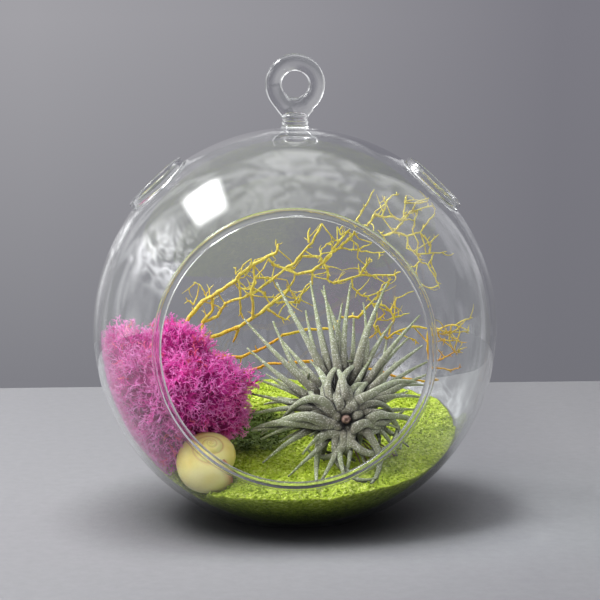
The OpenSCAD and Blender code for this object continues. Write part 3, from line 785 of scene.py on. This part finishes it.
def twig(root, way, length, thickness, dice, curl):
    """A twig's points, each with its thickness, wandering away from its root."""
    points, place, steps = [(root, thickness)], root.copy(), 4
    bend = drawn(dice, (-1, 1), (-0.5, 0.5), (-0.6, 1))
    for i in range(steps):
        way = (way + bend * curl / steps + any_way(dice) * 0.22).normalized()
        place = kept_inside(place + way * length / steps)
        points.append((place, thickness * (1 - 0.72 * (i + 1) / steps)))
    return points


def webs(paths, dice):
    """Thin twigs that join limbs which pass near each other, as in a dense bush."""
    made = []
    spots = [(number, spot) for number, path in enumerate(paths) for spot in path]
    while len(made) < JOINING_TWIGS:
        one, two = dice.choice(spots), dice.choice(spots)
        gap = (one[1] - two[1]).length
        if one[0] == two[0] or not 0.003 < gap < 0.0095 or min(one[1].z, two[1].z) < MIDDLE.z - 0.024:
            continue
        sag = any_way(dice) * gap * 0.22
        made.append([
            (one[1], 0.0006), (one[1].lerp(two[1], 0.35) + sag, 0.0005),
            (one[1].lerp(two[1], 0.7) + sag * 0.5, 0.00045), (two[1], 0.0005)])
    return made


def make_branch():
    dice = random.Random(17)
    runs = []
    paths = [[on_branch(p) for p in points] for _, _, points in LIMBS]
    for (first, last, _), path in zip(LIMBS, paths):
        d0, d1 = TWIG_D + (TRUNK_D - TWIG_D) * first, TWIG_D + (TRUNK_D - TWIG_D) * last
        run, total = [], len(path) - 1
        for i in range(total):
            for k in range(3):
                s = (i + k / 3) / total
                shake = 0.0003 if k else 0.0
                spot = path[i].lerp(path[i + 1], k / 3) + any_way(dice) * shake
                run.append((kept_inside(spot), (d0 + (d1 - d0) * s) * dice.uniform(0.85, 1.2)))
        run.append((kept_inside(path[-1]), d1 * 0.7))
        runs.append(run)
        # Side twigs and thorns
        thin = first < 0.36
        for i in range(total):
            ahead = (path[i + 1] - path[i]).normalized()
            for side in (-1, 1):
                if dice.random() > (0.45 if thin else 0.4):
                    continue
                root = path[i].lerp(path[i + 1], dice.uniform(0.15, 0.85))
                off = ahead.cross(Vector((0, 1, 0))).normalized() * side
                onward = ahead * dice.uniform(0.3, 1.1)
                way = (onward + off + Vector((0, dice.uniform(-0.9, 0.9), 0))).normalized()
                long = dice.random() < (0.5 if thin else 0.3)
                length = dice.uniform(0.0035, 0.008) if long else dice.uniform(0.001, 0.0026)
                thickness = dice.uniform(0.00042, 0.00062) if long else dice.uniform(0.0005, 0.0008)
                made = twig(root, way, length, thickness, dice, 1.6 if long else 0.4)
                runs.append(made)
                if long and dice.random() < 0.5:
                    turn = (way + off * dice.choice((-1.4, 1.2))).normalized()
                    runs.append(twig(made[2][0], turn, length * 0.55, thickness * 0.75, dice, 1.8))
    runs += webs(paths, dice)
    runs = [[(place, d / TRUNK_D) for place, d in run] for run in runs]
    branch = tubes("branch_limbs", runs, TRUNK_D / 2, 2)
    for vertex in branch.data.vertices:
        vertex.co += Vector(noise.noise_vector(vertex.co * 620)) * 0.00013
    return smooth(branch)


# Dyed moss


def moss_sprig(name, seed):
    """One curly sprig, forked twice, 1 unit tall, as thin tubes."""
    dice = random.Random(seed)
    strands = []

    def grow(place, way, length, level):
        points = [place]
        bend = drawn(dice, (-1, 1), (-1, 1), (-0.5, 0.5))
        for i in range(3):
            way = (way + bend * 0.65 + any_way(dice) * 0.3).normalized()
            place = place + way * length / 3
            points.append(place)
            if level < 2 and i > 0:
                side = drawn(dice, (-1, 1), (-1, 1), (0, 0.8)).normalized()
                grow(place, (way + side * 1.2).normalized(), length * 0.62, level + 1)
        strands.append((points, level))

    grow(Vector((0, 0, 0)), Vector((0, 0, 1)), 0.62, 0)
    runs = []
    for points, level in strands:
        runs.append([(place, (1 - 0.18 * level) * (1 - 0.12 * i)) for i, place in enumerate(points)])
    sprig = tubes(name, runs, 0.042, 0, capped=False)
    mark(sprig.data, "tip", [min(1, max(0, v.co.length)) for v in sprig.data.vertices])
    return sprig


def make_moss():
    """A dark core with curly sprigs all over the clump, pressed against the glass."""
    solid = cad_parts["moss"]
    only(solid)
    core = solid.copy()
    core.data = solid.data.copy()
    bpy.context.scene.collection.objects.link(core)
    core.name = core.data.name = "moss_core"
    open_up(core)
    bpy.ops.mesh.remove_doubles(threshold=1e-6)
    close_up()
    mesh = core.data
    mesh.calc_loop_triangles()
    spots = np.array([v.co for v in mesh.vertices])
    tris = np.array([t.vertices for t in mesh.loop_triangles])
    a, b, c = spots[tris[:, 0]], spots[tris[:, 1]], spots[tris[:, 2]]
    cross = np.cross(b - a, c - a)
    areas = np.linalg.norm(cross, axis=1)
    rng = np.random.default_rng(12)
    heart = Vector(((spots.min(0) + spots.max(0)) / 2).tolist())
    picks = np.searchsorted(np.cumsum(areas) / areas.sum(), (np.arange(SPRIGS) + rng.random(SPRIGS)) / SPRIGS)
    u, v = rng.random((2, SPRIGS))
    flip = u + v > 1
    u[flip], v[flip] = 1 - u[flip], 1 - v[flip]
    roots = a[picks] + (b - a)[picks] * u[:, None] + (c - a)[picks] * v[:, None]
    places = []
    dice = random.Random(5)
    for root in roots:
        root = Vector(root.tolist())
        out = (root - heart).normalized()
        lean = Vector((dice.gauss(0, 1), dice.gauss(0, 1), dice.gauss(0, 1) + 0.25)) * 0.5
        way = (out + lean).normalized()
        size = dice.uniform(0.0032, 0.0056)
        turn = upright(way) @ Matrix.Rotation(dice.uniform(0, 6.28), 4, "Z")
        spot = Matrix.Translation(root - out * size * 0.5)
        places.append((dice.randrange(4), spot @ turn @ Matrix.Scale(size, 4)))
    tufts = []
    for label, share in (("a", places[0::3]), ("b", places[1::3]), ("c", places[2::3])):
        sprigs = copies("moss_sprigs_" + label, [moss_sprig("sprig_%d" % k, 30 + k) for k in range(4)], share)
        for vertex in sprigs.data.vertices:
            arm = vertex.co - MIDDLE
            if arm.length > SPRIG_REACH:
                vertex.co = MIDDLE + arm.normalized() * (SPRIG_REACH - 0.0002 * ((vertex.index * 7) % 3))
        tufts.append(sprigs)
    for vertex in core.data.vertices:
        vertex.co = heart + (vertex.co - heart) * 0.9
        vertex.co += (vertex.co - heart).normalized() * 0.0012 * noise.noise(vertex.co * 420)
    core.data.materials.clear()
    return core, tufts


# Snail shell


def make_shell():
    """The whorl is carried round the apex step by step, turning and growing smaller."""
    turns, steps, around = 4, 36, 60
    slow, fast = 1.22, 2.1
    growths = [slow if i < steps * 0.7 else fast for i in range(int(turns * steps) + steps)]
    reach = 2 * SHELL_R / (1 + slow ** -0.5)
    tube = reach * 0.6
    arm, rise = reach - tube, 0.0108
    bpy.ops.mesh.primitive_circle_add(
        vertices=around, radius=tube, location=(arm, 0, 0), rotation=(math.pi / 2, 0, 0))
    shell = named("snail_shell_spiral")
    settle(shell)
    shell.data.transform(Matrix.Translation((0, 0, -rise)))
    ring = [math.atan2(v.co.z + rise, v.co.x - arm) for v in shell.data.vertices]
    open_up(shell)
    for growth in growths[:int(turns * steps)]:
        bpy.ops.mesh.extrude_region_move()
        bpy.ops.transform.rotate(value=2 * math.pi / steps, orient_axis="Z", center_override=(0, 0, 0))
        bpy.ops.transform.resize(value=(growth ** (-1 / steps),) * 3, center_override=(0, 0, 0))
    bpy.ops.mesh.edge_face_add()
    close_up()
    # The seam runs where each turn of the whorl meets the turn before it
    seams, lips = [], []
    for k in range(len(shell.data.vertices)):
        step = k // around
        share = math.prod(g ** (-1 / steps) for g in growths[step:step + steps])
        apart = math.hypot(arm, rise) * (1 - share)
        along = (apart ** 2 + tube ** 2 - (tube * share) ** 2) / (2 * apart)
        touch = math.atan2(rise, -arm) - math.acos(max(-1, min(1, along / tube)))
        seams.append(max(0, 1 - abs(ring[k % around] - touch) / math.radians(7)))
        lips.append(max(0, 1 - step / 1.5))
    mark(shell.data, "seam", seams)
    mark(shell.data, "lip", lips)
    face_outwards(shell)
    wall = shell.modifiers.new("Wall", "SOLIDIFY")
    wall.thickness = 0.0006
    wall.offset = -1
    finish_modifiers(shell)
    lean = Matrix.Rotation(math.radians(8), 4, "Y") @ Matrix.Rotation(math.radians(36), 4, "X")
    turn = Matrix.Rotation(math.radians(-38), 4, "Z")
    shift = Matrix.Translation((0, 0, rise * 0.8)) @ turn @ Matrix.Translation((SHELL_R - reach, 0, 0))
    # Set a little towards the middle of the globe, so that the whorl stays clear of the glass
    place = SHELL_AT + (MIDDLE - SHELL_AT).normalized() * SHELL_CLEAR
    shell.matrix_world = Matrix.Translation(place) @ lean @ shift
    settle(shell)
    return smooth(shell)


# Finishes


def new_finish(name):
    material = bpy.data.materials.new(name)
    material.use_nodes = True
    return material, material.node_tree, material.node_tree.nodes["Principled BSDF"]


def fill(node, inputs):
    """Gives a node's inputs, by name or number, values or sockets to link."""
    for key, value in inputs.items():
        if isinstance(value, bpy.types.NodeSocket):
            node.id_data.links.new(value, node.inputs[key])
        else:
            node.inputs[key].default_value = value


def add(tree, kind, inputs=None, **settings):
    """A node with its settings, its inputs given by name as values or as sockets to link."""
    made = tree.nodes.new("ShaderNode" + kind)
    for key, value in settings.items():
        setattr(made, key, value)
    fill(made, inputs or {})
    return made


def ramp(tree, source, stops):
    """Colours along the source's value; a stop of three numbers is given in 0 to 255."""
    made = tree.nodes.new("ShaderNodeValToRGB")
    elements = made.color_ramp.elements
    while len(elements) < len(stops):
        elements.new(0.5)
    for element, (place, colour) in zip(elements, stops):
        element.position = place
        element.color = tone(*colour) if len(colour) == 3 else colour
    tree.links.new(source, made.inputs["Fac"])
    return made.outputs["Color"]


def mixed(tree, factor, first, second, blend="MIX"):
    made = add(tree, "Mix", data_type="RGBA", blend_type=blend)
    fill(made, {0: factor, 6: first, 7: second})
    return made.outputs[2]


def multiplied(tree, first, second, factor=1.0):
    return mixed(tree, factor, first, second, "MULTIPLY")


def worked(tree, operation, *values):
    """The outcome of a sum, given its values in order."""
    return add(tree, "Math", dict(enumerate(values)), operation=operation).outputs[0]


def spread(tree, value, start, end, top=1.0, **settings):
    """Runs from 0 to the top value while the value goes from start to end."""
    inputs = {"Value": value, "From Min": start, "From Max": end, "To Max": top}
    return add(tree, "MapRange", inputs, **settings).outputs["Result"]


def mottle(tree, place, scale, detail, roughness=0.5, distortion=0.0):
    """Cloudy noise over a place, from 0 to 1."""
    inputs = {"Vector": place, "Scale": scale, "Detail": detail, "Roughness": roughness}
    return add(tree, "TexNoise", {**inputs, "Distortion": distortion}).outputs["Fac"]


def axes(tree, place):
    return add(tree, "SeparateXYZ", {"Vector": place}).outputs


def coordinates(tree, kind="Object"):
    return add(tree, "TexCoord").outputs[kind]


def attribute(tree, name):
    return add(tree, "Attribute", attribute_name=name).outputs["Fac"]


def object_place(tree, scale=(1, 1, 1)):
    return add(tree, "Mapping", {"Vector": coordinates(tree), "Scale": scale}).outputs["Vector"]


def bump(tree, shader, height, strength, distance):
    made = add(tree, "Bump", {"Height": height, "Strength": strength, "Distance": distance})
    fill(shader, {"Normal": made.outputs["Normal"]})


def blown_glass():
    """Clear glass with the slow waves of blowing; light from the lamps comes through it."""
    material, tree, shader = new_finish("clear_blown_glass")
    fill(shader, {
        "Base Color": (0.985, 0.995, 0.99, 1), "Roughness": 0.0, "IOR": 1.5, "Transmission Weight": 1.0})
    bump(tree, shader, mottle(tree, object_place(tree), 26.0, 1.0), 0.12, 0.002)
    facing = add(tree, "LayerWeight", {"Blend": 0.35}).outputs["Facing"]
    veil = ramp(tree, facing, [
        (0.0, (0.97, 0.98, 0.975, 1)), (0.75, (0.85, 0.86, 0.86, 1)), (1.0, even(0.25))])
    through = add(tree, "BsdfTransparent", {"Color": veil})
    path = add(tree, "LightPath")
    # Light that has gone back and forth inside the glass long enough leaves it straight
    spent = worked(tree, "GREATER_THAN", path.outputs["Ray Depth"], 3.5)
    clear = worked(tree, "MAXIMUM", path.outputs["Is Shadow Ray"], spent)
    mix = add(tree, "MixShader", {0: clear, 1: shader.outputs[0], 2: through.outputs[0]})
    fill(tree.nodes["Material Output"], {"Surface": mix.outputs[0]})
    return material


def dyed_sand(name, loose):
    material, tree, shader = new_finish(name)
    place = object_place(tree)
    grains = add(tree, "TexVoronoi", {"Vector": place, "Scale": 1150.0})
    patches = mottle(tree, place, 160.0, 4.0, roughness=0.65)
    if loose:
        pick_one = attribute(tree, "shade")
    else:
        pick_one = add(tree, "SeparateColor", {"Color": grains.outputs["Color"]}).outputs[0]
    grain = ramp(tree, pick_one, [
        (0.0, (146, 166, 42)), (0.45, (188, 210, 66)), (0.8, (208, 226, 92)), (1.0, (234, 244, 148))])
    patch = ramp(tree, patches, [(0.3, (196, 206, 150)), (0.7, (255, 255, 240))])
    colour = multiplied(tree, grain, patch, 0.75)
    if not loose:
        # Painted shade: darker below the surface, down against the glass, where the light from above doesn't
        # reach
        shade_below_shore = ramp(tree, attribute(tree, "buried"), [
            (0.0, WHITE), (0.06, (240, 242, 232)), (0.24, (184, 190, 168)), (0.5, (116, 124, 106)),
            (1.0, (84, 92, 78))])
        colour = multiplied(tree, colour, shade_below_shore)
    # Painted shadow of the moss: a dark place on the sand between the moss and the plant
    here = add(tree, "Mapping", {
        "Vector": coordinates(tree), "Location": (0.66, -0.3, -1.25), "Scale": (40.0, 28.0, 42.0)})
    moss_shadow_spot = add(tree, "TexGradient", {"Vector": here.outputs[0]}, gradient_type="SPHERICAL")
    edge = worked(tree, "MULTIPLY", moss_shadow_spot.outputs["Fac"], patches)
    painted_moss_shadow = ramp(tree, edge, [(0.04, WHITE), (0.24, (86, 96, 74))])
    colour = multiplied(tree, colour, painted_moss_shadow)
    fill(shader, {"Base Color": colour, "Roughness": 0.85, "Specular IOR Level": 0.3})
    bump(tree, shader, grains.outputs["Distance"], 0.8, 0.0006)
    return material


def felted_leaf():
    """Silvery scales over olive green, brown towards the base and painted near black right at the stem end as
    shade, greener at the tip.
    """
    material, tree, shader = new_finish("felted_leaf")
    along = axes(tree, coordinates(tree, "UV"))["X"]
    place = object_place(tree)
    # The near black at the very base is painted shade where the leaves crowd in
    base = ramp(tree, along, [
        (0.0, (20, 16, 14)), (0.12, (62, 56, 48)), (0.3, (134, 131, 114)), (0.65, (142, 150, 118)),
        (1.0, (132, 142, 96))])
    scales = add(tree, "TexVoronoi", {"Vector": place, "Scale": 1700.0})
    flecks = ramp(tree, scales.outputs["Distance"], [(0.22, WHITE), (0.5, BLACK)])
    cloud = mottle(tree, place, 700.0, 4.0, roughness=0.7)
    cover = ramp(tree, cloud, [(0.4, even(0.08)), (0.62, even(0.95))])
    silver = multiplied(tree, flecks, cover)
    rooted = ramp(tree, along, [(0.03, even(0.1)), (0.3, even(0.9))])
    silver = multiplied(tree, silver, rooted)
    # Hardly any light gets down between the crowded leaf bases
    open_air = add(tree, "AmbientOcclusion", {"Distance": 0.007}).outputs["AO"]
    gaps = ramp(tree, open_air, [(0.26, (16, 14, 12)), (0.5, (128, 126, 120)), (0.82, WHITE)])
    colour = multiplied(tree, mixed(tree, silver, base, tone(244, 244, 236)), gaps)
    fill(shader, {"Base Color": colour, "Roughness": 0.7, "Sheen Weight": 0.35, "Sheen Roughness": 0.5})
    bump(tree, shader, cloud, 0.6, 0.0005)
    return material


def bare_stem():
    material, tree, shader = new_finish("stem_end")
    blotch = mottle(tree, object_place(tree), 420.0, 5.0, roughness=0.7)
    colour = ramp(tree, blotch, [(0.3, (84, 64, 56)), (0.5, (138, 112, 102)), (0.72, (192, 166, 152))])
    fill(shader, {"Base Color": colour, "Roughness": 0.75})
    bump(tree, shader, blotch, 0.5, 0.0005)
    return material


def dyed_wood():
    """Golden orange low down and lemon higher up, partly the dye and partly painted shade on the lower limbs,
    with a fibrous skin.
    """
    material, tree, shader = new_finish("dyed_branch")
    spot = coordinates(tree)
    # Oranger lower down is partly painted shade, besides the dye
    height = spread(tree, axes(tree, spot)["Z"], 0.055, 0.1)
    where = worked(tree, "ADD", height, mottle(tree, spot, 150.0, 3.0))
    base = ramp(tree, where, [
        (0.25, (228, 152, 30)), (0.55, (244, 194, 46)), (0.8, (244, 222, 78)), (1.0, (238, 230, 112))])
    fibre = mottle(tree, object_place(tree, (1, 1, 0.25)), 1600.0, 3.0)
    streak = ramp(tree, fibre, [(0.3, (204, 168, 100)), (0.62, (255, 252, 240))])
    fill(shader, {"Base Color": multiplied(tree, base, streak, 0.85), "Roughness": 0.6})
    bump(tree, shader, fibre, 0.5, 0.0004)
    return material


def dyed_moss(name, core):
    material, tree, shader = new_finish(name)
    place = object_place(tree)
    patches = mottle(tree, place, 110.0, 3.0)
    if core:
        along = ramp(tree, patches, [(0.35, (150, 28, 110)), (0.65, (214, 58, 162))])
        tint = WHITE
    else:
        along = ramp(tree, attribute(tree, "tip"), [
            (0.1, (248, 72, 186)), (0.45, (255, 104, 206)), (0.9, (255, 162, 228))])
        tint = ramp(tree, attribute(tree, "shade"), [
            (0.0, (238, 222, 238)), (0.5, WHITE), (0.955, (255, 240, 248)), (0.97, (255, 205, 140))])
    patch = ramp(tree, patches, [(0.3, (236, 226, 238)), (0.7, WHITE)])
    colour = multiplied(tree, multiplied(tree, along, tint, 0.85), patch)
    fill(shader, {
        "Base Color": colour, "Roughness": 0.75, "Specular IOR Level": 0.3, "Sheen Weight": 0.4,
        "Sheen Roughness": 0.45, "Sheen Tint": (1.0, 0.5, 0.82, 1)})
    bump(tree, shader, mottle(tree, place, 900.0, 2.0), 0.5, 0.0005)
    return material


def glossy_shell():
    """Smooth cream shell, yellower in the cloudy patches, with a thin tan seam between the whorls."""
    material, tree, shader = new_finish("snail_shell")
    cloud = mottle(tree, object_place(tree), 90.0, 4.0)
    colour = ramp(tree, cloud, [(0.3, (236, 214, 112)), (0.5, (247, 230, 142)), (0.75, (252, 242, 178))])
    line = ramp(tree, attribute(tree, "seam"), [(0.0, BLACK), (1.0, even(0.9))])
    colour = mixed(tree, line, colour, tone(214, 166, 112))
    colour = mixed(tree, attribute(tree, "lip"), colour, tone(196, 104, 84))
    fill(shader, {
        "Base Color": colour, "Roughness": 0.36, "Subsurface Weight": 0.15, "Subsurface Scale": 0.001})
    bump(tree, shader, cloud, 0.08, 0.0004)
    return material


# Stage, lamps and camera


def table_top():
    material, tree, shader = new_finish("table_top")
    speckle = mottle(tree, object_place(tree), 220.0, 4.0, roughness=0.7)
    colour = ramp(tree, speckle, [(0.3, (167, 167, 171)), (0.7, (174, 174, 178))])
    # Painted shade: the table a little darker towards the right and light again at the far right, as the
    # lamps fall off
    far = spread(tree, axes(tree, coordinates(tree))["X"], -0.08, 0.14)
    painted_falloff = ramp(tree, far, [(0.0, WHITE), (0.72, (236, 236, 238)), (0.95, WHITE)])
    # Little light reaches the table close under the globe
    open_air = add(tree, "AmbientOcclusion", {"Distance": 0.06}).outputs["AO"]
    close = ramp(tree, open_air, [(0.25, (52, 52, 54)), (0.8, WHITE)])
    colour = multiplied(tree, multiplied(tree, colour, painted_falloff), close)
    fill(shader, {"Base Color": colour, "Roughness": 0.7})
    return material


def set_stage():
    bpy.ops.mesh.primitive_plane_add(size=1)
    floor = named("table_floor")
    floor.scale = (6, 3, 1)
    turn = math.radians(4.1)
    floor.rotation_euler = (0, 0, turn)
    edge = Vector((0.005, 0.291, 0))
    floor.location = edge - Matrix.Rotation(turn, 3, "Z") @ Vector((0, 1.5, 0))
    settle(floor)
    floor.data.materials.append(table_top())

    world = bpy.data.worlds.new("studio")
    bpy.context.scene.world = world
    world.use_nodes = True
    tree = world.node_tree
    back = tree.nodes["Background"]
    way = axes(tree, coordinates(tree, "Generated"))
    # The grey card behind the globe: up to 37 degrees to either side, 52 degrees high
    side = worked(tree, "ARCTAN2", way["X"], way["Y"])
    within = spread(tree, worked(tree, "ABSOLUTE", side), 0.66, 0.64)
    below = spread(tree, way["Z"], 0.80, 0.77)
    card = worked(tree, "MULTIPLY", within, below)
    # Painted light on the card: lighter at the upper left, darker to the right and lower down, as the key
    # lamp falls on it
    across = spread(tree, side, -0.16, 0.16)
    up = spread(tree, way["Z"], -0.16, 0.06)
    low = ramp(tree, across, [(0.0, (128, 128, 134)), (1.0, (115, 115, 122))])
    high = ramp(tree, across, [(0.0, (162, 161, 166)), (0.5, (148, 147, 153)), (1.0, (124, 123, 131))])
    grey = mixed(tree, up, low, high)
    # The pale room: brighter overhead and to the left, hung with soft cloth that the glass mirrors
    overhead = ramp(tree, way["Z"], [
        (0.0, (0.42, 0.42, 0.44, 1)), (0.5, (0.62, 0.62, 0.64, 1)), (0.8, (1.0, 1.0, 1.02, 1)),
        (1.0, (1.7, 1.7, 1.72, 1))])
    leftward = spread(tree, way["X"], -0.35, -0.95, 0.5)
    room = mixed(tree, leftward, overhead, (1.5, 1.5, 1.52, 1))
    hung = add(tree, "Mapping", {"Vector": coordinates(tree, "Generated"), "Scale": (1.0, 1.0, 0.35)})
    folds = mottle(tree, hung.outputs[0], 5.0, 2.0, distortion=1.2)
    cloth = ramp(tree, folds, [(0.4, even(0.5)), (0.6, even(1.5))])
    path = add(tree, "LightPath")
    mirrored = mixed(tree, path.outputs["Is Glossy Ray"], WHITE, cloth)
    room = multiplied(tree, room, mirrored)
    pleats = add(tree, "Mapping", {
        "Vector": coordinates(tree, "Generated"), "Rotation": (0.0, math.radians(35), 0.0),
        "Scale": (1.0, 1.0, 3.2)})
    ridges = mottle(tree, pleats.outputs[0], 3.6, 2.0, roughness=0.5, distortion=1.6)
    bright = ramp(tree, ridges, [(0.4, BLACK), (0.66, (6.2, 6.2, 6.3, 1))])
    beside = spread(tree, way["X"], -0.7, -0.85)
    above = spread(tree, way["Z"], 0.22, 0.42)
    for limit in (beside, above, path.outputs["Is Glossy Ray"]):
        bright = multiplied(tree, bright, mixed(tree, limit, BLACK, WHITE))
    seen = mixed(tree, 1.0, mixed(tree, card, room, grey), bright, "ADD")
    lit = mixed(tree, path.outputs["Is Diffuse Ray"], seen, (0.17, 0.17, 0.175, 1))
    fill(back, {"Color": lit, "Strength": 1.0})


def softbox(name, way, distance, size, power, soft_edge=0.0):
    """A rectangular lamp in one direction from the globe's middle, its long side running front to back."""
    lamp = bpy.data.lights.new(name, "AREA")
    lamp.shape = "RECTANGLE"
    lamp.size, lamp.size_y = size
    lamp.energy = power
    if soft_edge:
        # The light fades towards the edges of the box
        lamp.use_nodes = True
        tree = lamp.node_tree
        spot = axes(tree, add(tree, "NewGeometry").outputs["Parametric"])
        fades = []
        for side in ("X", "Y"):
            off = worked(tree, "ABSOLUTE", worked(tree, "SUBTRACT", spot[side], 0.5))
            fades.append(spread(tree, off, 0.5, 0.5 - soft_edge, 1.3, interpolation_type="SMOOTHSTEP"))
        fade = worked(tree, "MULTIPLY", fades[0], fades[1])
        fill(tree.nodes["Emission"], {"Strength": fade})
    holder = bpy.data.objects.new(name, lamp)
    bpy.context.scene.collection.objects.link(holder)
    z = Vector(way).normalized()
    y = (Vector((0, 1, 0)) - z * z.y).normalized()
    x = y.cross(z)
    turn = Matrix((x, y, z)).transposed().to_4x4()
    holder.matrix_world = Matrix.Translation(MIDDLE + z * distance) @ turn
    return holder


def set_camera():
    rise, away = math.radians(7.5), 0.6
    camera = bpy.data.cameras.new("camera")
    holder = bpy.data.objects.new("camera", camera)
    bpy.context.scene.collection.objects.link(holder)
    back = Vector((0, -math.cos(rise), math.sin(rise)))
    holder.location = MIDDLE + back * away
    holder.rotation_euler = (-back).to_track_quat("-Z", "Y").to_euler()
    # Shifted so that the foot stands low in the square picture, as a share of its 600 points
    camera.sensor_width = 36
    camera.lens = 96
    camera.shift_x = 5 / 600
    camera.shift_y = 29 / 600
    camera.clip_start = 0.01
    bpy.context.scene.camera = holder


def dress(piece, material, node):
    piece.data.materials.clear()
    piece.data.materials.append(material)
    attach(piece, "root")
    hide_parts(node)


set_camera()
set_stage()
softbox("key_softbox", (-0.575, 0.16, 0.802), 0.95, (0.3, 0.56), 5.5, 0.28)
low_key = softbox("low_key", (-0.7, -0.12, 0.7), 0.95, (0.22, 0.22), 3.7)
front_fill = softbox("front_fill", (-0.3, -0.9, 0.35), 1.5, (1.6, 0.9), 4.6)
# Only the key shows as a reflection in the glass
for holder in (low_key, front_fill):
    holder.visible_glossy = False
    holder.visible_transmission = False
    holder.visible_camera = False

dress(make_globe(), blown_glass(), "glass_globe")
dress(make_sand(), dyed_sand("dyed_sand", False), "sand_bed")
dress(scatter_grains(), dyed_sand("dyed_grains", True), "sand_bed")
dress(make_leaves(), felted_leaf(), "air_plant")
stem, bulb = make_stem()
stem_finish = bare_stem()
dress(stem, stem_finish, "air_plant")
dress(bulb, stem_finish, "air_plant")
dress(make_roots(), stem_finish, "air_plant")
dress(make_branch(), dyed_wood(), "branch")
core, tufts = make_moss()
dress(core, dyed_moss("dyed_moss_core", True), "moss")
moss_finish = dyed_moss("dyed_moss", False)
for sprigs in tufts:
    dress(sprigs, moss_finish, "moss")
dress(make_shell(), glossy_shell(), "snail_shell")

scene = bpy.context.scene
scene.view_settings.view_transform = "Standard"
